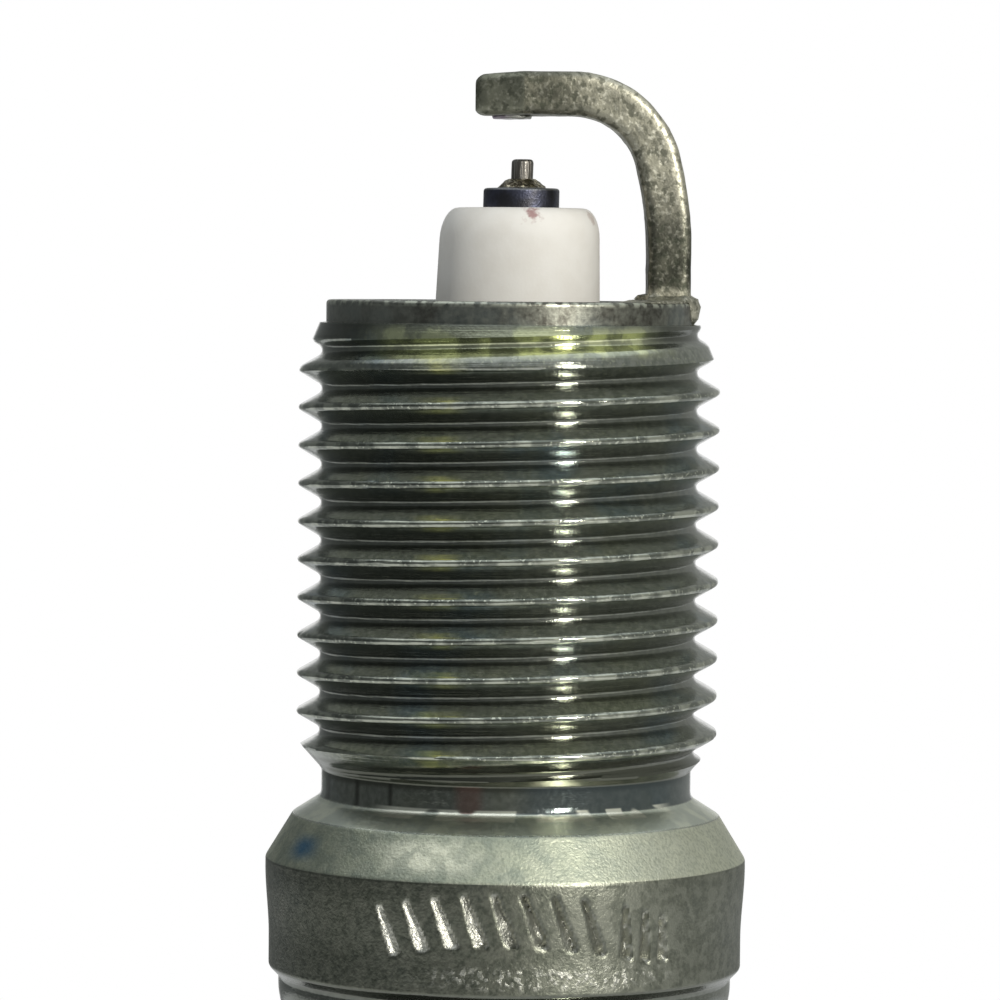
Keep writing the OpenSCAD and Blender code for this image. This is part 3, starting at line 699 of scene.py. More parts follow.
# %% Colours of the collar, and the whole finish
def collar_and_rear(f, area, colour):
    # painted light: the collar's right side, towards the lamp, is lighter in patches
    right = f.turn.between(10.0, 70.0, 15.0) * area.mottle.ramp(0.0, 1.0, 0.3, 0.7)
    return painted(
        colour,
        (area.collar * 0.9, mix(area.mottle, (0.08, 0.088, 0.068), (0.135, 0.14, 0.112))),
        (area.collar * area.fine * 0.4, (0.27, 0.28, 0.225)),
        (area.collar * right, (0.27, 0.28, 0.235)),
        # painted shade: the collar's rear edge is darkened
        (area.edge * 0.8, (0.15, 0.155, 0.13)),
        # bare metal, torn and stamped; on the first strokes the stamp's brightness is also a painted
        # highlight
        ((area.torn * 0.8).most(area.stamp), (0.72, 0.72, 0.66)),
        # darker behind the collar; in the groove this is painted shade
        (area.rear * 0.5, (0.13, 0.135, 0.12)))


def plated_steel():
    f = Finish("plated_steel", Metallic=1.0)
    area = shell_areas(f)
    colour = neck_seat_and_shoulder(f, area, thread_and_nose(f, area))
    f.wire("Base Color", collar_and_rear(f, area, colour))
    rough = 0.16 - area.thread * 0.06 + area.speckle * 0.06 + area.seat * 0.26 + area.collar * 0.2
    f.wire("Roughness", rough + area.shoulder * 0.12 + area.torn * 0.1 + area.nose * 0.18 - area.neck * 0.05)
    turned = f.marks(0.07) * (1.0 - area.thread) + area.neck * 0.5
    rolled = f.marks(0.035) * area.thread * (1.0 - area.run_in * 0.6)
    coarse = 0.35 + area.seat * 1.1 + area.collar * 1.0 + area.torn * 4.0 + area.stamp * 3.0
    grain = f.patches(0.09, 0.2, 0.8, detail=4.0, seed=9.0) * coarse
    f.relief(turned * 0.3 + rolled * 1.2 + grain, 0.005)
    return f.material


STEEL = plated_steel()
print("plated steel:", len(STEEL.node_tree.nodes), "nodes")

# %% [markdown]
# ## The shell
#
# The shell is one piece of steel: rolled rim, hexagon, groove, collar, conical seat, neck, thread and nose,
# with a stepped bore inside. It is built as four patches that share their end rings: the turned body with its
# bore, the neck and seat, the rolled thread from the ridge tree, and a fine band for the stamped marks.

# %% The hexagon's rings
HEX_SOFT, HEX_BEVEL = 0.35, 0.3
SIDE_COLUMNS = COLUMNS // 6
FLAT_COLUMNS, CORNER_COLUMNS = 12, 3  # from the middle of a side: across its flat, and round half a corner


def hex_ring(face_height, inwards):
    """The hexagon's outline where its chamfer ends. inwards is -1 at the front end and 1 at the rear end."""
    index = np.arange(COLUMNS)
    step = index % SIDE_COLUMNS - SIDE_COLUMNS // 2
    flat = (hex_half - HEX_SOFT) * cone_slope
    bend = np.radians(30.0 / CORNER_COLUMNS) * np.clip(np.abs(step) - FLAT_COLUMNS, 0, CORNER_COLUMNS)
    out = hex_half - HEX_SOFT + HEX_SOFT * np.cos(bend)
    side = np.clip(step / FLAT_COLUMNS, -1, 1) * flat + np.sign(step) * HEX_SOFT * np.sin(bend)
    facing = np.radians(30 + 60 * (index // SIDE_COLUMNS))
    x = out * np.cos(facing) - side * np.sin(facing)
    y = out * np.sin(facing) + side * np.cos(facing)
    drop = (np.hypot(x, y) - (hex_half - HEX_BEVEL)) * cone_slope
    return np.stack([x, y, face_height + inwards * drop], 1)


print("corner of the hexagon at", round(float(hex_ring(0, 0)[0][0]), 3), "mm")

# %% [markdown]
# The stamp in the collar is a row of slanted strokes and three upright bars, struck one by one into the
# turned face. Each stroke is a wedge that slopes down to the right and ends at a steep wall. The distance
# from the nearest stroke gives the depth, so a second small tree can press the whole row into a fine band of
# faces. Its attribute says where the metal was laid bare, and it is strongest on the first strokes, where it
# is also a painted highlight. The strokes are only a pattern and spell nothing.

# %% Geometry Nodes tree of the stamped band
BAND_INPUTS = GRID_INPUTS + numbers(
    Bottom=-4.1, Top=-1.7, Bottom_Radius=7.8, Top_Radius=7.925, Step_Bottom=-3.3, Step_Top=-2.2, Middle=-2.0,
    Length=1.5, Width=0.42, Depth=0.27, First_Stroke=-3.95, Stroke_Pitch=0.965, Strokes=8.0, Slant=0.36,
    First_Bar=4.0, Bar_Pitch=0.72, Bars=3.0, Bow=-0.028, Seed=2.0)


def stroke_dent(along, below, given, first, step, count, slant):
    """Depth of a row of wedges, from 0 to 1, and the number of the stroke that is nearest."""
    lean = along - below * slant
    number = ((lean - first) / step + 0.5).math("FLOOR").most(0.0).least(count - 1.0)
    aside = lean - first - number * step
    half = given["Width"] * 0.5 * below.ramp(given["Length"] * -0.5, given["Length"] * 0.3, 0.55, 1.0)
    beyond = (below.math("ABSOLUTE") - given["Length"] * 0.5).most(0.0)
    slope = ((aside + half) / (half * 1.6)).most(0.0).least(1.0)
    wall = ((half + 0.04 - aside) / 0.11).most(0.0).least(1.0)
    return slope.least(wall) * beyond.ramp(0.14, 0.0), number


def band_tree():
    tree, given = new_tree("stamped_band", "GeometryNodeTree", BAND_INPUTS, [("Geometry", "Geometry")])
    grid, u, v = bent_grid(tree, given)
    height = given["Bottom"] + v * (given["Top"] - given["Bottom"])
    radius = height.ramp(given["Step Bottom"], given["Step Top"], given["Bottom Radius"], given["Top Radius"])
    angle = u * (2 * math.pi)
    across, along_y = angle.math("COSINE"), angle.math("SINE")
    spot = vector(tree, across * 8.0, along_y * 8.0, height + given["Seed"])
    wobble = add(tree, "ShaderNodeTexNoise", {"Vector": spot, "Scale": 2.2})
    along = (angle - 1.5 * math.pi) * radius + (wobble - 0.5) * 0.16
    below = given["Middle"] + along * along * given["Bow"] - height
    strokes, number = stroke_dent(along, below, given, given["First Stroke"], given["Stroke Pitch"],
                                  given["Strokes"], given["Slant"])
    bars, _ = stroke_dent(along, below, given, given["First Bar"], given["Bar Pitch"], given["Bars"], 0.0)
    inside = height.ramp(given["Bottom"] + 0.03, given["Bottom"] + 0.2) \
        * height.ramp(given["Top"] - 0.03, given["Top"] - 0.2)
    dent = strokes.most(bars) * inside
    pressed = radius - dent * (wobble * 0.8 + 0.6) * given["Depth"]
    # bare metal in the dents, strongest on the first strokes, where it is also a painted highlight
    bare_and_highlight = dent.ramp(0.02, 0.3) * number.ramp(1.5, 5.0, 1.0, 0.35)
    marked = add(tree, "GeometryNodeStoreNamedAttribute", {"Geometry": grid, "Name": "stamp", "Value": bare_and_highlight},
                 data_type="FLOAT", domain="POINT")
    return end_tree(tree, given, marked, vector(tree, pressed * across, pressed * along_y, height))


BAND = band_tree()
print("band tree:", len(BAND.nodes), "nodes")

# %% The four patches of the shell
BAND_COLUMNS, BAND_ROWS = 4 * COLUMNS, 30
band_top, band_bottom = -1.02, -3.55
crest_round, root_round, end_level = 0.13, 0.2, 0.08
thread_root_r = thread_r + crest_round + root_round - pitch * sharp_depth
land_r, mid_bore_r, rear_bore_r, firing_bore_r, lip_bore_r = 3.8, 4.6, 6.2, 4.5, 5.12
lip_length, land_length, ledge_depth, step_depth, firing_chamfer = 1, 1.5, 15, 1.5, 0.2
ledge, bore_step = ceramic_tip - ledge_depth, seat_rear - step_depth

thread = ridges(STEEL, thread_rear, thread_front, crest_height, pitch, COLUMNS, 18, root_radius=thread_root_r,
                depth=thread_r - thread_root_r, crest_round=crest_round, root_round=root_round,
                flank=thread_flank, end_level=end_level, start_fade=0.9, end_fade=0.42, nicks=0.06)
band = grown(BAND, {"Columns": BAND_COLUMNS, "Rows": BAND_ROWS, "Bottom": band_bottom, "Top": band_top,
                    "Bottom Radius": collar_rear_r, "Top Radius": collar_r, "Step Bottom": band_bottom + 0.1,
                    "Step Top": band_top - 0.1}, STEEL)
neck_and_seat = soften([
    (thread_root_r, thread_rear), (neck_r, thread_rear - 0.12, 0.04), (neck_r, neck_rear, 0.2),
    (seat_inner_r, seat_front, 0.07), (collar_r, seat_rear, 0.09), (collar_r, band_top)])
body = soften([
    (collar_rear_r, band_bottom), (collar_rear_r, collar_rear + 0.325, 0.08), (groove_r, collar_rear, 0.1),
    (groove_r, collar_rear - groove_length * 0.2, 0.3),
    (groove_r - 0.15, collar_rear - groove_length * 0.5, 0.5),
    (groove_r, hex_front + groove_length * 0.2, 0.3), (groove_r, hex_front, 0.05),
    (hex_half - HEX_BEVEL, hex_front, 0.08), (hex_ring(hex_front, -1), 0, 0.1),
    (hex_ring(hex_rear, 1), 0, 0.1), (hex_half - HEX_BEVEL, hex_rear, 0.08), (rim_r, hex_rear, 0.05),
    (rim_r, rim_rear, 1.4, 10), (lip_bore_r, rim_rear, 0.12), (lip_bore_r, rim_rear + lip_length, 0.02, 1),
    (rear_bore_r, rim_rear + lip_length, 0.02, 1),
    (rear_bore_r, bore_step - rear_bore_r + mid_bore_r, 0.1, 2), (mid_bore_r, bore_step, 0.1, 2),
    (mid_bore_r, ledge - (mid_bore_r - land_r) * cone_slope, 0.1, 2), (land_r, ledge, 0.1, 2),
    (land_r, ledge + land_length, 0.1, 2),
    (firing_bore_r, ledge + land_length + firing_bore_r - land_r, 0.1, 2),
    (firing_bore_r, reach - firing_chamfer, 0.05, 2), (firing_bore_r + firing_chamfer, reach, 0.05, 2),
    (nose_r, reach, 0.12), (nose_r, thread_front + 0.02, 0.01), (thread_root_r + end_level, thread_front)])
piece("shell_body", [
    thread, band, skin(neck_and_seat + [ring(collar_r, band_top, BAND_COLUMNS)]),
    skin([ring(collar_rear_r, band_bottom, BAND_COLUMNS)] + body)], STEEL, "plug", ["shell"])

# %% [markdown]
# ## The insulator
#
# The insulator is alumina, pressed, ground and fired. Its nose at the gap is bare and matte, and the long end
# under the lead is glazed. The glaze hides the grinding marks, so it is smoother and a little whiter. The
# ribs lengthen the way that a spark would have to creep along, and they come from the same ridge tree without
# climb.

# %% Fired ceramic
CERAMIC_SPOTS = [  # place, radius, colour and strength of the stains on the nose
    ((0.66, -2.15, 20.22), 0.42, (0.24, 0.09, 0.09), 0.8),
    ((0.36, -2.25, 20.05), 0.26, (0.3, 0.14, 0.13), 0.6),
    ((2.5, -0.75, 20.15), 0.36, (0.3, 0.2, 0.17), 0.5),
]


def fired_ceramic():
    f = Finish("fired_ceramic", Metallic=0.0)
    glazed = f.height.ramp(-12.0, -14.0)
    cloud = f.patches(0.8, 0.3, 0.7, detail=4.0, seed=1.0)
    colour = mix(glazed, mix(cloud, (0.675, 0.655, 0.615), (0.71, 0.695, 0.66)), (0.85, 0.845, 0.83))
    for spot, size, tint, strength in CERAMIC_SPOTS:
        away = add(f.tree, "ShaderNodeVectorMath", (f.place, spot), output=1, operation="DISTANCE")
        ragged = away + (f.patches(0.16, 0.2, 0.8, seed=spot[0]) - 0.5) * 0.22
        colour = mix(ragged.ramp(size, size * 0.45) * strength, colour, tint)
    f.wire("Base Color", colour)
    f.wire("Roughness", glazed.ramp(0.0, 1.0, 0.62, 0.1) + cloud * 0.05)
    grain = f.patches(0.1, 0.2, 0.8, detail=4.0, seed=6.0)
    f.relief(grain * glazed.ramp(0.0, 1.0, 0.45, 0.03) + cloud * 0.4, 0.004)
    return f.material


CERAMIC = fired_ceramic()
print("ceramic:", len(CERAMIC.node_tree.nodes), "nodes")

# %% The insulator's patches
CERAMIC_COLUMNS = 120
side_gap, washer_gap, step_gap, talc_length = 0.15, 0.35, 0.45, 1.3
neck_ceramic_r, mid_ceramic_r, flange_ceramic_r = 5.0, mid_bore_r - side_gap, rear_bore_r - side_gap
core_bore_r, wire_bore_r, nose_root_r, nose_tip_r = 2.15, 1.27, 3.1, 2.6
nose_root = ledge + (land_r - nose_root_r) * cone_slope - washer_gap
electrode_seat = nose_root - 2.2
packing_half = (rear_bore_r - neck_ceramic_r) / 2  # half the room of a packing ring
flange_rear = rim_rear + lip_length + talc_length + packing_half * (4 + math.sqrt(2) - 1)
ceramic_step = bore_step - step_gap
rib_count, rib_pitch, rib_depth = 5, 2.9, 0.7
rib_flat, rib_crest_round, rib_root_round, rib_flank = 0.26, 0.5, 0.4, 1.05
ribs_start = ceramic_rear + 3 - rib_pitch / 2
ribs_end = ribs_start + rib_count * rib_pitch


def root_flat(pitch_, depth, crest_flat, crest_round, root_round, slope):
    """The flat that is left at the root once crest, flanks and rounds have their room."""
    level = 1 / math.hypot(1, slope)
    run = (depth - (crest_round + root_round) * (1 - level)) / slope
    return max(0.0, pitch_ - crest_flat - 2 * (crest_round + root_round) * slope * level - 2 * run)


ribs = ridges(CERAMIC, ribs_start, ribs_end, ribs_start, rib_pitch, CERAMIC_COLUMNS, 24, climb=0.0,
              root_radius=neck_ceramic_r - rib_depth, depth=rib_depth, crest_flat=rib_flat,
              crest_round=rib_crest_round, root_round=rib_root_round, flank=rib_flank,
              root_flat=root_flat(rib_pitch, rib_depth, rib_flat, rib_crest_round, rib_root_round, rib_flank),
              start_level=rib_depth, end_level=rib_depth)
ceramic_body = soften([
    (neck_ceramic_r, ribs_end), (neck_ceramic_r, flange_rear, 0.2),
    (flange_ceramic_r, flange_rear + flange_ceramic_r - neck_ceramic_r, 0.2),
    (flange_ceramic_r, ceramic_step - flange_ceramic_r + mid_ceramic_r, 0.2),
    (mid_ceramic_r, ceramic_step, 0.2),
    (mid_ceramic_r, nose_root - (mid_ceramic_r - nose_root_r) * cone_slope, 0.1),
    (nose_root_r, nose_root, 0.2), (nose_tip_r, ceramic_tip, 1.0, 8), (wire_bore_r, ceramic_tip, 0.05, 2),
    (wire_bore_r, electrode_seat, 0.05, 2),
    (core_bore_r, electrode_seat - core_bore_r + wire_bore_r, 0.05, 2),
    (core_bore_r, ceramic_rear, 0.12, 2), (neck_ceramic_r, ceramic_rear, 0.8, 6),
    (neck_ceramic_r, ribs_start)], count=CERAMIC_COLUMNS)
piece("insulator_body", [ribs, leaning(skin(ceramic_body))], CERAMIC, "plug", ["insulator"])

# %% [markdown]
# ## Centre electrode and wire
#
# The nickel electrode ends in a short stub. Heat has given it a dark, bluish skin. A fine wire of precious
# metal stands in its middle, welded in by a laser, and the weld has frozen into a small uneven cone with a
# golden sheen. The cone is a turned shape whose rings are pushed in and out by a noise, which is how a melt
# looks, while the drawn wire keeps the straight fine lines of the drawing die.

# %% Push points in and out along their normals
def point_normals(points, faces):
    normals = np.zeros_like(points)
    for face in faces:
        corners = points[face]
        normals[face] += np.cross(corners[2] - corners[0], corners[-1] - corners[1])
    return normals / np.maximum(np.linalg.norm(normals, axis=1, keepdims=True), 1e-12)


def roughened(patch, layers, where=lambda point: 1.0, lift=0.0):
    """Moves each point along its normal by layers of noise: (size in mm, depth in mm, threshold).

    where says how much of it a point gets, from 0 to 1. With a threshold, a layer only dents.
    """
    points, faces = patch[0], patch[1]
    normals = point_normals(points, faces)
    moved = points.copy()
    for i, (point, normal) in enumerate(zip(points, normals)):
        shift = lift
        for size, depth, threshold in layers:
            value = noise.noise(Vector(point / size) + Vector((size * 37, 5, 9)))
            shift += depth * (value if threshold is None else min(0.0, threshold - value) * 2)
        moved[i] = point + normal * shift * where(point)
    return moved, faces


print("surfaces can be roughened")

# %% Oxidised nickel, weld and wire
def oxidised_nickel():
    f = Finish("oxidised_nickel", Metallic=1.0)
    weld = f.height.ramp(nickel_face - 0.02, nickel_face + 0.06)
    # painted highlight: the stub's top edge and end face are painted lighter
    face = f.height.ramp(nickel_face - 0.1, nickel_face - 0.02) * (1.0 - weld)
    fleck = f.patches(0.12, 0.5, 0.62, seed=8.0) * weld
    f.wire("Base Color", painted(
        mix(f.patches(0.5, 0.35, 0.65, seed=4.0), (0.06, 0.06, 0.07), (0.085, 0.09, 0.13)),
        (face * 0.6, (0.42, 0.43, 0.42)), (weld, mix(fleck, (0.24, 0.21, 0.15), (0.75, 0.68, 0.5)))))
    f.wire("Roughness", 0.42 - weld * 0.18)
    f.relief(f.marks(0.05) * 0.5 + f.patches(0.08, 0.2, 0.8, seed=2.0), 0.006)
    return f.material


def drawn_wire():
    f = Finish("drawn_wire", Metallic=1.0)
    x, y, z = split(f.place)
    along = vector(f.tree, x * 14.0, y * 14.0, z * 0.5)
    lines = add(f.tree, "ShaderNodeTexNoise", {"Vector": along, "Scale": 1.0, "Detail": 2.0}).ramp(0.42, 0.6)
    f.wire("Base Color", mix(lines, (0.17, 0.16, 0.145), (0.42, 0.4, 0.37)))
    f.wire("Roughness", 0.42 - lines * 0.1)
    f.relief(lines, 0.008)
    return f.material


NICKEL, WIRE = oxidised_nickel(), drawn_wire()
print("nickel and wire ready")

# %% Electrode and wire
FINE_COLUMNS = 96
electrode_r, wire_r = 1.25, high("electrode_tip").x
copper_r, crown_rear = 0.7, low("centre_electrode").z
head_r, crown_r, head_rear = 2.0, 1.3, crown_rear + 0.9
head_front = head_rear + 1.1
socket_floor, boss_top = low("electrode_tip").z, nickel_face + boss_height
sheath = skin(soften([
    (wire_r, socket_floor, 0), (wire_r, boss_top, 0.02), (wire_r + 0.05, boss_top, 0.03),
    (0.62, nickel_face + 0.19, 0.1), (0.74, nickel_face + 0.08, 0.06), (0.8, nickel_face, 0.04),
    (electrode_r, nickel_face, 0.1), (electrode_r, head_front + head_r - electrode_r, 0.1),
    (head_r, head_front, 0.1), (head_r, head_rear, 0.08), (crown_r, head_rear, 0.02),
    (crown_r, crown_rear, 0.05), (copper_r, crown_rear, 0.02), (copper_r, nickel_face - 1.6, 0)],
    count=FINE_COLUMNS), cap_first=True, cap_last=True)
sheath = roughened(sheath, [(0.35, 0.05, None), (0.15, 0.035, None)],
                   lambda p: p[2] > nickel_face + 0.03 and math.hypot(p[0], p[1]) > wire_r + 0.03)
piece("centre_electrode_body", [leaning(sheath)], NICKEL, "plug", ["centre_electrode"])
wire_rod = skin(soften([(wire_r, socket_floor), (wire_r, wire_end, 0.12, 4), (0.08, wire_end)], count=48),
                cap_first=True, cap_last=True)
wire_rod = roughened(wire_rod, [(0.2, 0.008, None)], lambda p: boss_top < p[2] < wire_end - 0.05)
piece("wire_tip", [leaning(wire_rod)], WIRE, "plug", ["electrode_tip"])

# %% [markdown]
# ## Ground strap
#
# The strap is a flat bar of nickel alloy, welded to the face of the shell and bent over the wire. Its end is
# trimmed to a blunt point. A curve with a bevel object could carry the section, but the bar narrows and thins
# towards its rounded tip, so each section is placed along the bend line by a function. Small noises then give
# it the pitted, mottled skin of a bar that has been bent and welded.

# %% Mottled nickel of the strap
strap_tip_x, strap_top, bend_middle = low("ground_strap").x, high("ground_strap").z, (2.0, 21.4)


def mottled_nickel():
    f = Finish("mottled_nickel", Metallic=1.0)
    x, y, z = split(f.place)
    # the bend and its outer side carry painted highlights below
    bend = x.ramp(1.0, 3.6) * z.ramp(19.0, 22.0)
    aside, above = x - bend_middle[0], z - bend_middle[1]
    outer = (aside * aside + above * above).math("SQRT").ramp(2.7, 3.5) * bend
    foot = z.ramp(reach + 0.55, reach + 0.3)
    tip = x.ramp(strap_tip_x + 1.62, strap_tip_x + 1.58)
    cloud = f.patches(0.6, 0.36, 0.64, detail=5.0, seed=1.0)
    pit = f.patches(0.26, 0.48, 0.62, detail=5.0, seed=3.0)
    fleck = f.patches(0.14, 0.5, 0.76, detail=5.0, seed=14.0)
    f.wire("Base Color", painted(
        mix(cloud, (0.062, 0.064, 0.05), (0.118, 0.118, 0.092)),
        # painted light: the strap is lighter towards its top
        (z.ramp(20.5, 23.0) * 0.25, (0.4, 0.39, 0.3)),
        # painted highlight on the bend and its outer side, and a paler foot
        ((bend * 0.5).most(outer * 0.85).most(foot * 0.6), (0.6, 0.58, 0.47)),
        (tip * 0.5, (0.34, 0.35, 0.27)),
        (pit * 0.6, (0.05, 0.058, 0.042)),
        # pale flecks, brighter on the bend as a painted highlight and at the foot
        (fleck * (0.3 + (bend * 0.6).most(foot * 0.5)), (0.8, 0.78, 0.66))))
    f.wire("Roughness", 0.4 + cloud * 0.1 + pit * 0.12)
    f.relief(f.patches(0.16, 0.25, 0.75, detail=5.0, seed=6.0) + (1.0 - pit) * 0.4, 0.006)
    return f.material


STRAP = mottled_nickel()
print("strap finish:", len(STRAP.node_tree.nodes), "nodes")

# %% The bar's sections along its bend line
strap_w, strap_t, strap_edge = 2.7, 1.4, 0.28
EDGE_POINTS, WIDE_STEPS, THIN_STEPS = 6, 15, 7  # round each edge, and along the wide and the thin faces
tip_w, tip_t, trim_length, overhang, tip_round = 1.6, 1.28, 1.6, -strap_tip_x, 0.35
mid_height = strap_top - strap_t / 2
leg_x = nose_r - 0.15 - strap_t / 2
lean, lean_r, bend_r = math.radians(14), 13.0, 2.9
leg_top = mid_height - bend_r * (1 - math.sin(lean)) - lean_r * math.sin(lean)
bend_start_x = leg_x - lean_r * (1 - math.cos(lean))
bend_x = bend_start_x - bend_r * math.cos(lean)


def strap_section(x, z, angle, inner, outer, half):
    """A rounded rectangle across the bend line: inner and outer are the faces' distances from it."""
    edge, points = min(strap_edge, 0.45 * (inner + outer)), []
    corners = [(-inner + edge, half - edge, 180), (outer - edge, half - edge, 90),
               (outer - edge, -half + edge, 0), (-inner + edge, -half + edge, -90)]
    for i, (u, v, start) in enumerate(corners):
        for a in np.radians(start - np.linspace(0, 90, EDGE_POINTS)):
            points.append((u + edge * math.cos(a), v + edge * math.sin(a)))
        next_u, next_v, next_start = corners[(i + 1) % 4]
        first = np.array(points[-1])
        last = np.array((next_u + edge * math.cos(math.radians(next_start)),
                         next_v + edge * math.sin(math.radians(next_start))))
        steps = THIN_STEPS if i % 2 == 0 else WIDE_STEPS
        points += [tuple(first + (last - first) * k / steps) for k in range(1, steps)]
    points = np.array(points)
    return np.stack([x + points[:, 0] * math.cos(angle), points[:, 1], z + points[:, 0] * math.sin(angle)], 1)


def bend_line():
    """Places along the bar's middle as (x, z, angle): up the leg, round the bend and on to the trim."""
    places = [(leg_x, z, 0) for z in np.linspace(reach - 0.25, leg_top, 10)]
    for a in np.linspace(0, lean, 26)[1:]:
        places.append((leg_x - lean_r * (1 - math.cos(a)), leg_top + lean_r * math.sin(a), a))
    for share in np.linspace(0, 1, 40)[1:]:
        a = lean + (math.pi / 2 - lean) * share
        places.append((bend_x + bend_r * math.cos(a), mid_height - bend_r + bend_r * math.sin(a), a))
    cut_x = trim_length - overhang
    flat = [*np.linspace(bend_x, cut_x, 12)[1:-1], cut_x + 0.03, cut_x - 0.03]
    return places + [(x, mid_height, math.pi / 2) for x in flat]


def strap_sections():
    half = strap_t / 2
    made = [strap_section(x, z, angle, half, half, strap_w / 2) for x, z, angle in bend_line()]
    rounding = tip_round * (1 - np.sin(np.linspace(0, math.pi / 2, 7)[1:])) - overhang
    for x in [*np.linspace(trim_length - overhang, tip_round - overhang, 10)[1:], *rounding]:
        left = (x + overhang) / trim_length
        shrink = tip_round * (1 - math.sqrt(max(0.0, 1 - max(0.0, 1 - (x + overhang) / tip_round) ** 2)))
        made.append(strap_section(x, mid_height, math.pi / 2, half - shrink * 0.6,
                                  half - (strap_t - tip_t) * (1 - left) - shrink,
                                  tip_w / 2 + (strap_w - tip_w) / 2 * left - shrink * 0.5))
    for scale in (0.8, 0.5, 0.2):
        made.append(made[-1].mean(0) + (made[-1] - made[-1].mean(0)) * scale)
    return made


bar = roughened(skin(strap_sections(), cap_first=True, cap_last=True),
                [(1.6, 0.03, None), (0.5, 0.012, None), (0.22, 0.02, 0.3)],
                lambda p: 0.25 if p[2] < reach + 0.1 else 1.0, lift=-0.012)
bar[0][:, 2] = np.minimum(bar[0][:, 2], strap_top)
bar[0][:, 0] = np.maximum(bar[0][:, 0], strap_tip_x)
print("strap bar:", len(bar[1]), "faces")

# %% [markdown]
# At its foot the strap has been pressed into the hot face of the shell, and some metal has been squeezed out.
# This flash is a low bead around the foot that thins out along the face, with a skirt over the edge. It is a
# second closed shape that a Boolean union melts into the bar, as the weld does.

# %% Weld flash, and the union with the bar
FLASH_PROFILE = [  # radius, and height over the shell's face
    (4.72, -0.06), (4.4, 0.02), (4.15, 0.1), (4.25, 0.2), (4.7, 0.27), (5.05, 0.24), (5.5, 0.2), (5.9, 0.24),
    (6.18, 0.1), (6.26, -0.15), (6.2, -0.55), (6.04, -0.75), (5.9, -0.4), (5.6, -0.1)]
SOLVER_SCALE = 100  # a union is worked out a hundred times larger, clear of the solver's own tolerance


def flash():
    rings, rim = [], nose_r - 0.03
    for degrees in np.linspace(-44, 30, 75):
        off, angle = abs(degrees), math.radians(degrees)
        bead = min(1.0, max(0.25 * min(1.0, (45 - off) / 10), (20 - off) / 5))
        skirt = min(1.0, max(0.03, (15 - off) / 5))
        points = []
        for r, z in FLASH_PROFILE:
            out = rim + (r - rim) * skirt if r > rim else max(r, 4.72 - 0.6 * skirt)
            down = z * bead if z > 0 else z * (skirt if r > 5.7 else 1.0)
            points.append((out * math.cos(angle), out * math.sin(angle), reach + down))
        rings.append(np.array(points))
    return roughened(skin(rings, cap_first=True, cap_last=True), [(0.5, 0.05, None), (0.22, 0.025, None)])


def united(first, second):
    """The union of two closed patches, by a Boolean modifier that is applied at once."""
    objects = []
    for points, faces in (first, second):
        mesh = bpy.data.meshes.new("melt")
        mesh.from_pydata(points * MM * SOLVER_SCALE, [], [[int(i) for i in face] for face in faces])
        bm = bmesh.new()
        bm.from_mesh(mesh)
        bmesh.ops.recalc_face_normals(bm, faces=bm.faces)
        bm.to_mesh(mesh)
        bm.free()
        objects.append(bpy.data.objects.new("melt", mesh))
        bpy.context.scene.collection.objects.link(objects[-1])
    modifier = objects[0].modifiers.new("melt", "BOOLEAN")
    modifier.operation, modifier.solver, modifier.object = "UNION", "EXACT", objects[1]
    mesh = bpy.data.meshes.new_from_object(objects[0].evaluated_get(bpy.context.evaluated_depsgraph_get()))
    points = np.array([v.co for v in mesh.vertices]) / MM / SOLVER_SCALE
    faces = [list(face.vertices) for face in mesh.polygons]
    for made in objects:
        bpy.data.objects.remove(made)
    return points, faces


piece("ground_strap_bar", [united(bar, flash())], STRAP, "plug", ["ground_strap"], hard=60)

# %% [markdown]
# ## Pad under the strap
#
# A small disc of precious metal is welded under the tip, right over the wire. The weld has left it slightly
# domed and uneven, with a purple tint on one side from the heat.

# %% Pad
def heat_tinted():
    f = Finish("heat_tinted", Metallic=1.0)
    x, _, _ = split(f.place)
    tint = x.ramp(0.1, -0.6) * f.patches(0.3, 0.3, 0.6, seed=2.0).ramp(0.0, 1.0, 0.5, 1.0)
    f.wire("Base Color", mix(tint, (0.36, 0.36, 0.33), (0.3, 0.22, 0.32)))
    f.wire("Roughness", 0.3 + tint * 0.1)
    f.relief(f.patches(0.12, 0.2, 0.8, seed=5.0), 0.01)
    return f.material


PAD = heat_tinted()
pad_low, pad_high, pad_r = low("ground_pad").z, high("ground_pad").z, high("ground_pad").x
disc = soften([(0.05, pad_high), (pad_r, pad_high, 0.03), (pad_r - 0.02, pad_low + 0.02, 0.05),
               (0.3, pad_low + 0.01, 0.2), (0.05, pad_low + 0.005)], count=64)
disc = roughened(skin(disc, cap_first=True, cap_last=True), [(0.3, 0.02, None)],
                 lambda p: p[2] < pad_high - 0.03)
piece("ground_pad_disc", [disc], PAD, "plug", ["ground_pad"])

# %% [markdown]
# ## Terminal stud and nut
#
# The stud is a steel rod that the glass grips inside the insulator. Its M4 thread carries the terminal nut,
# which the ignition lead snaps on. The nut comes off, so both threads are real here: the stud's outside and
# the nut's inside, each one call of the ridge tree. Both pieces are nickel-plated, brighter than the shell.

# %% Bright nickel plating
def bright_nickel(name, seed):
    f = Finish(name, Metallic=1.0)
    cloud = f.patches(1.1, 0.35, 0.65, detail=4.0, seed=seed)
    scuff = f.patches(0.12, 0.55, 0.66, seed=seed + 5)
    colour = mix(cloud, (0.56, 0.55, 0.51), (0.66, 0.65, 0.61))
    f.wire("Base Color", mix(scuff * 0.5, colour, (0.4, 0.4, 0.37)))
    f.wire("Roughness", 0.2 + cloud * 0.08 + scuff * 0.14)
    f.relief(f.marks(0.06) * 0.8 + f.patches(0.08, 0.2, 0.8, seed=seed) * 0.3, 0.006)
    return f.material


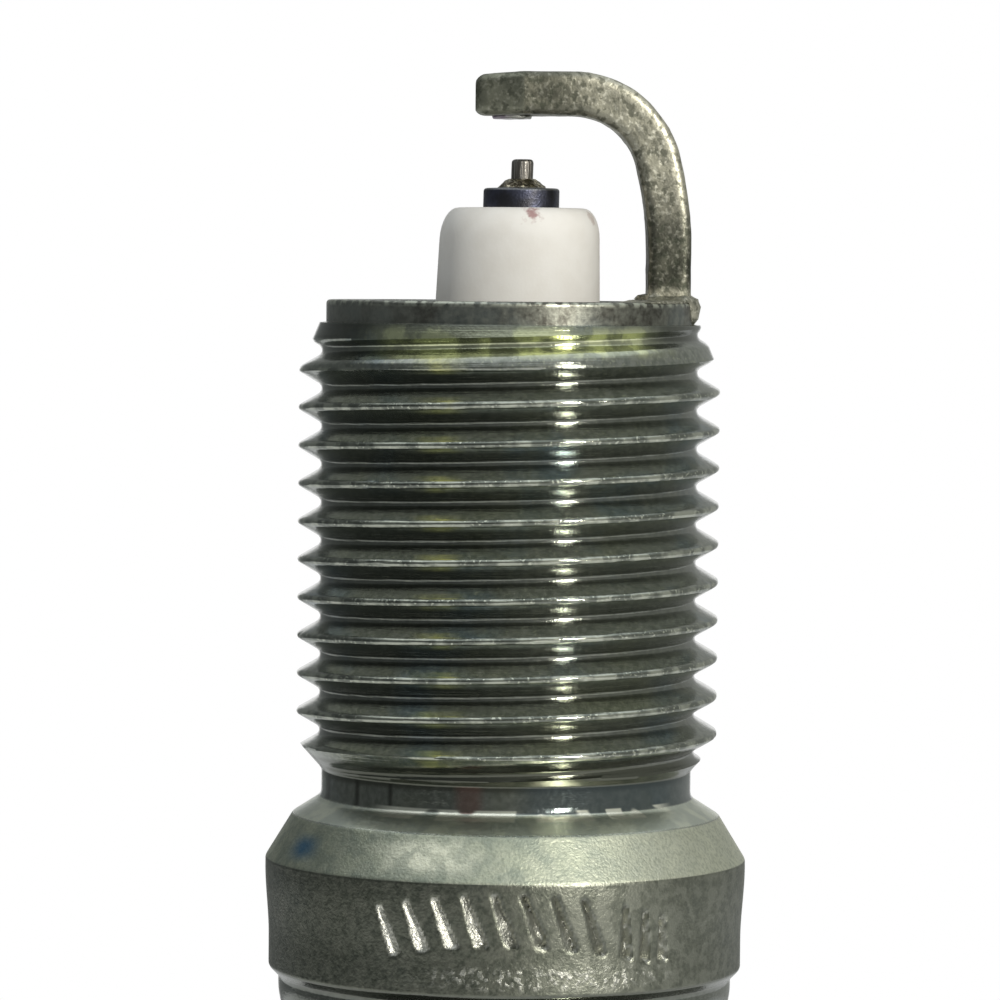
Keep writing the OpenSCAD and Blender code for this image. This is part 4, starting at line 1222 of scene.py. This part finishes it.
STUD, NUT = bright_nickel("stud_plating", 2.0), bright_nickel("terminal_nut_plating", 6.0)
print("bright plating ready")

# %% Stud
stud_columns, stud_pitch, stud_r = 72, 0.7, 1.95
stud_crest_round, stud_root_round = 0.08, 0.07
stud_root_r = stud_r + stud_crest_round + stud_root_round - stud_pitch * sharp_depth
stud_rear, flange_rear_face = low("terminal_stud").z, ceramic_rear - 0.9
stud_thread_end = flange_rear_face - 0.8
grip_front, grip_r, grip_groove_r, grip_pitch, grip_ribs = high("terminal_stud").z, 1.6, 1.45, 0.8, 5
grip_rear = grip_front - grip_ribs * grip_pitch
shank_r, flange_r = 1.75, 3.0
stud_thread = ridges(STUD, stud_rear, stud_thread_end, stud_rear, stud_pitch, stud_columns, 16,
                     root_radius=stud_root_r, depth=stud_r - stud_root_r, crest_round=stud_crest_round,
                     root_round=stud_root_round, flank=thread_flank)
grip = []
for i in range(grip_ribs):
    z = grip_front - grip_pitch * i
    grip += [(grip_r, z, 0.05, 1), (grip_r, z - 0.42, 0.05, 1),
             (grip_groove_r, z - 0.5, 0.03, 1), (grip_groove_r, z - 0.74, 0.03, 1)]
stud_body = soften([
    (0.3, grip_front), *grip, (grip_r, grip_rear, 0.02, 1), (shank_r, grip_rear - 0.05, 0.04, 1),
    (shank_r, ceramic_rear - 0.02, 0.05, 1), (flange_r, ceramic_rear - 0.02, 0.12),
    (flange_r, flange_rear_face, 0.15),
    (stud_root_r, flange_rear_face, 0.06, 2), (stud_root_r, stud_thread_end)], count=stud_columns)
stud_end = [ring(0.4, stud_rear, stud_columns), ring(stud_root_r, stud_rear, stud_columns)]
piece("terminal_stud_body", [stud_thread, skin(stud_body, cap_first=True), skin(stud_end, cap_first=True)],
      STUD, "plug", ["terminal_stud"])

# %% Nut
nut_r, nut_groove_r, nut_bore_r = high("terminal_nut").x, 2.55, stud_r + 0.1
nut_front, nut_rear = high("terminal_nut").z, low("terminal_nut").z
nut_chamfer, mouth, groove_side = 0.7, 0.3, 0.35
nut_head_front, base_rear = nut_rear + nut_chamfer + 3.4, nut_front - 1.3
nut_depth, nut_crest_flat, nut_crest_round, nut_root_round = 0.25, 0.16, 0.05, 0.06
nut_thread = ridges(
    NUT, nut_rear + mouth, nut_front - mouth, stud_rear + stud_pitch / 2, stud_pitch, stud_columns, 14,
    root_radius=nut_bore_r + nut_depth, outwards=-1.0, depth=nut_depth, crest_flat=nut_crest_flat,
    crest_round=nut_crest_round, root_round=nut_root_round, flank=thread_flank,
    root_flat=root_flat(stud_pitch, nut_depth, nut_crest_flat, nut_crest_round, nut_root_round, thread_flank))
nut_body = soften([
    (nut_bore_r + nut_depth, nut_front - mouth), (nut_bore_r + mouth, nut_front, 0.04),
    (nut_r, nut_front, 0.12), (nut_r, base_rear, 0.1), (nut_groove_r, base_rear - groove_side, 0.15),
    (nut_groove_r, nut_head_front + groove_side, 0.15), (nut_r, nut_head_front, 0.12),
    (nut_r, nut_rear + nut_chamfer, 0.25, 5), (nut_r - nut_chamfer, nut_rear, 0.15, 5),
    (nut_bore_r + mouth, nut_rear, 0.06), (nut_bore_r + nut_depth, nut_rear + mouth)], count=stud_columns)
piece("terminal_nut_body", [nut_thread, skin(nut_body)], NUT, "nut", ["terminal_nut"])

# %% [markdown]
# ## The pieces inside
#
# The washer, the packing, the talc, the glass and the resistor are hidden in the finished plug, but each is a
# real piece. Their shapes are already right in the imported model, so they keep their meshes and only get a
# proper finish: one recipe with two colours, a grain size and a gloss. Only the copper core is turned again,
# because it leans with the electrode around it.

# %% Finishes of the inner pieces
def inner_finish(name, first, second, metallic, gloss, rough, size, depth):
    f = Finish(name, Metallic=metallic)
    cloud = f.patches(size * 5, 0.35, 0.65, detail=4.0, seed=size * 10)
    grain = f.patches(size, 0.3, 0.7, detail=4.0, seed=size * 3)
    f.wire("Base Color", mix(cloud * 0.6 + grain * 0.4, first, second))
    f.wire("Roughness", grain.ramp(0.0, 1.0, gloss, rough))
    f.relief(grain + f.marks(0.06) * metallic, depth)
    return f.material


INNER_FINISHES = {  # two colours, metallic, gloss and roughness, grain size and depth
    "washer_steel": ((0.42, 0.42, 0.4), (0.52, 0.52, 0.49), 1.0, 0.3, 0.45, 0.1, 0.008),
    "packing_steel": ((0.4, 0.4, 0.38), (0.5, 0.49, 0.46), 1.0, 0.28, 0.4, 0.12, 0.006),
    "pressed_talc": ((0.7, 0.68, 0.6), (0.86, 0.84, 0.78), 0.0, 0.85, 1.0, 0.15, 0.03),
    "drawn_copper": ((0.62, 0.27, 0.15), (0.8, 0.42, 0.27), 1.0, 0.25, 0.4, 0.14, 0.006),
    "fired_glass": ((0.05, 0.045, 0.04), (0.12, 0.09, 0.07), 0.0, 0.06, 0.25, 0.2, 0.01),
    "carbon_ceramic": ((0.03, 0.03, 0.032), (0.1, 0.1, 0.105), 0.0, 0.6, 0.9, 0.18, 0.03),
}
INNER_NODES = {
    "seat_washer": "washer_steel", "front_packing_ring": "packing_steel",
    "rear_packing_ring": "packing_steel", "talc_fill": "pressed_talc", "front_glass_seal": "fired_glass",
    "rear_glass_seal": "fired_glass", "resistor": "carbon_ceramic",
}
inner = {name: inner_finish(name, *recipe) for name, recipe in INNER_FINISHES.items()}
for node, name in INNER_NODES.items():
    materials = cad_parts[node].data.materials
    materials.clear()
    materials.append(inner[name])
core_side, core_front = copper_r - 0.01, nickel_face - 1.61
core = skin(soften([(0.05, crown_rear), (core_side, crown_rear, 0.06), (core_side, core_front, 0.06),
                    (0.05, core_front)], count=48), cap_first=True, cap_last=True)
piece("copper_core_body", [leaning(core)], inner["drawn_copper"], "plug", ["copper_core"])
print("inner pieces dressed:", len(INNER_NODES) + 1)

# %% [markdown]
# ## Studio
#
# The plug stands in front of a plain white backdrop over a pale floor. One tall, narrow soft lamp stands on
# the right of the camera, a little above it, and a wide, pale ceiling fills in. In front of the plug the room
# is darker, which is what gives turned metal its contrast: a mirror-like cylinder is as dark as the part of
# the room that it faces. The white itself is there only for the camera and for rays that mirror or pass
# through, so it shows in the metal but casts no light of its own.

# %% Room, floor and lamp
LEFT_WALL, RIGHT_WALL, DIFFUSE_WALL = (0.13, 0.14, 0.14), (0.4, 0.41, 0.39), (0.42, 0.43, 0.43)
CEILING, WHITE = (0.92, 0.97, 1.0), (1, 1, 1)
FLOOR_GREY, FLOOR_GLOW, LAMP_AIM = 0.56, 0.15, 8 * MM


def rays(tree, *kinds):
    """1 on rays of any of these kinds, and 0 on all others."""
    path = tree.nodes.new("ShaderNodeLightPath")
    on = Flow(tree, path.outputs[kinds[0]])
    for kind in kinds[1:]:
        on = on.most(Flow(tree, path.outputs[kind]))
    return on


def room():
    world = bpy.data.worlds.new("room")
    bpy.context.scene.world = world
    world.use_nodes = True
    tree = world.node_tree
    background = tree.nodes["Background"]
    x, y, z = split(add(tree, "ShaderNodeTexCoord", output=0))
    walls = mix(x.ramp(-0.8, 0.8), LEFT_WALL, RIGHT_WALL)
    walls = mix(rays(tree, "Is Diffuse Ray"), walls, DIFFUSE_WALL)
    behind = y.ramp(0.965, 0.985) * z.ramp(0.3, 0.15) * rays(tree, "Is Glossy Ray", "Is Transmission Ray")
    seen = painted(walls, (z.ramp(0.6, 0.85), CEILING), (rays(tree, "Is Camera Ray").most(behind), WHITE))
    tree.links.new(seen.socket, background.inputs["Color"])
    background.inputs["Strength"].default_value = 1.0


def pale_floor(height, half):
    mesh = bpy.data.meshes.new("studio_floor")
    corners = [(-half, -half, height), (half, -half, height), (half, half, height), (-half, half, height)]
    mesh.from_pydata(corners, [], [(0, 1, 2, 3)])
    material = bpy.data.materials.new("pale_floor")
    material.use_nodes = True
    tree = material.node_tree
    shader = tree.nodes["Principled BSDF"]
    shader.inputs["Base Color"].default_value = (FLOOR_GREY, FLOOR_GREY, FLOOR_GREY, 1)
    shader.inputs["Roughness"].default_value = 0.9
    shader.inputs["Emission Color"].default_value = (*WHITE, 1)
    glow = rays(tree, "Is Camera Ray", "Is Glossy Ray", "Is Transmission Ray") * FLOOR_GLOW
    tree.links.new(glow.socket, shader.inputs["Emission Strength"])
    mesh.materials.append(material)
    floor = bpy.data.objects.new("studio_floor", mesh)
    bpy.context.scene.collection.objects.link(floor)


def lamp(name, azimuth, elevation, distance, size, power, colour):
    """An area lamp that looks at the plug's middle. Azimuth is counted from -Y towards +X, in degrees."""
    data = bpy.data.lights.new(name, "AREA")
    data.shape, data.energy, data.color = "RECTANGLE", power, colour
    data.size, data.size_y = size
    made = bpy.data.objects.new(name, data)
    a, e = math.radians(azimuth), math.radians(elevation)
    direction = Vector((math.sin(a) * math.cos(e), -math.cos(a) * math.cos(e), math.sin(e)))
    made.location = direction * distance + Vector((0, 0, LAMP_AIM))
    made.rotation_euler = direction.to_track_quat("Z", "Y").to_euler()
    bpy.context.scene.collection.objects.link(made)


room()
pale_floor(height=-0.0615, half=0.25)
lamp("key_lamp", azimuth=35, elevation=19, distance=0.45, size=(0.009, 0.24), power=1.55,
     colour=(1.0, 0.965, 0.89))
print("studio ready")

# %% [markdown]
# ## Camera
#
# The camera looks at the firing end from the front, slightly from above, through a long lens. It is rolled by
# half a degree. The view transform is set to Standard, so that a colour renders as it is written.

# %% Camera
camera_place, looks_down, roll = (-0.345, -163, 18.3), 2.588, -0.52  # millimetres, and degrees
lens = bpy.data.cameras.new("camera")
lens.lens, lens.sensor_width = 178.1, 36
lens.clip_start, lens.clip_end = 0.01, 10
camera = bpy.data.objects.new("camera", lens)
camera.location = Vector(camera_place) * MM
camera.rotation_mode = "XYZ"
camera.rotation_euler = (math.radians(90 - looks_down), math.radians(roll), 0)
bpy.context.scene.collection.objects.link(camera)
bpy.context.scene.camera = camera
bpy.context.scene.view_settings.view_transform = "Standard"
print("camera at", [round(c, 4) for c in camera.location])
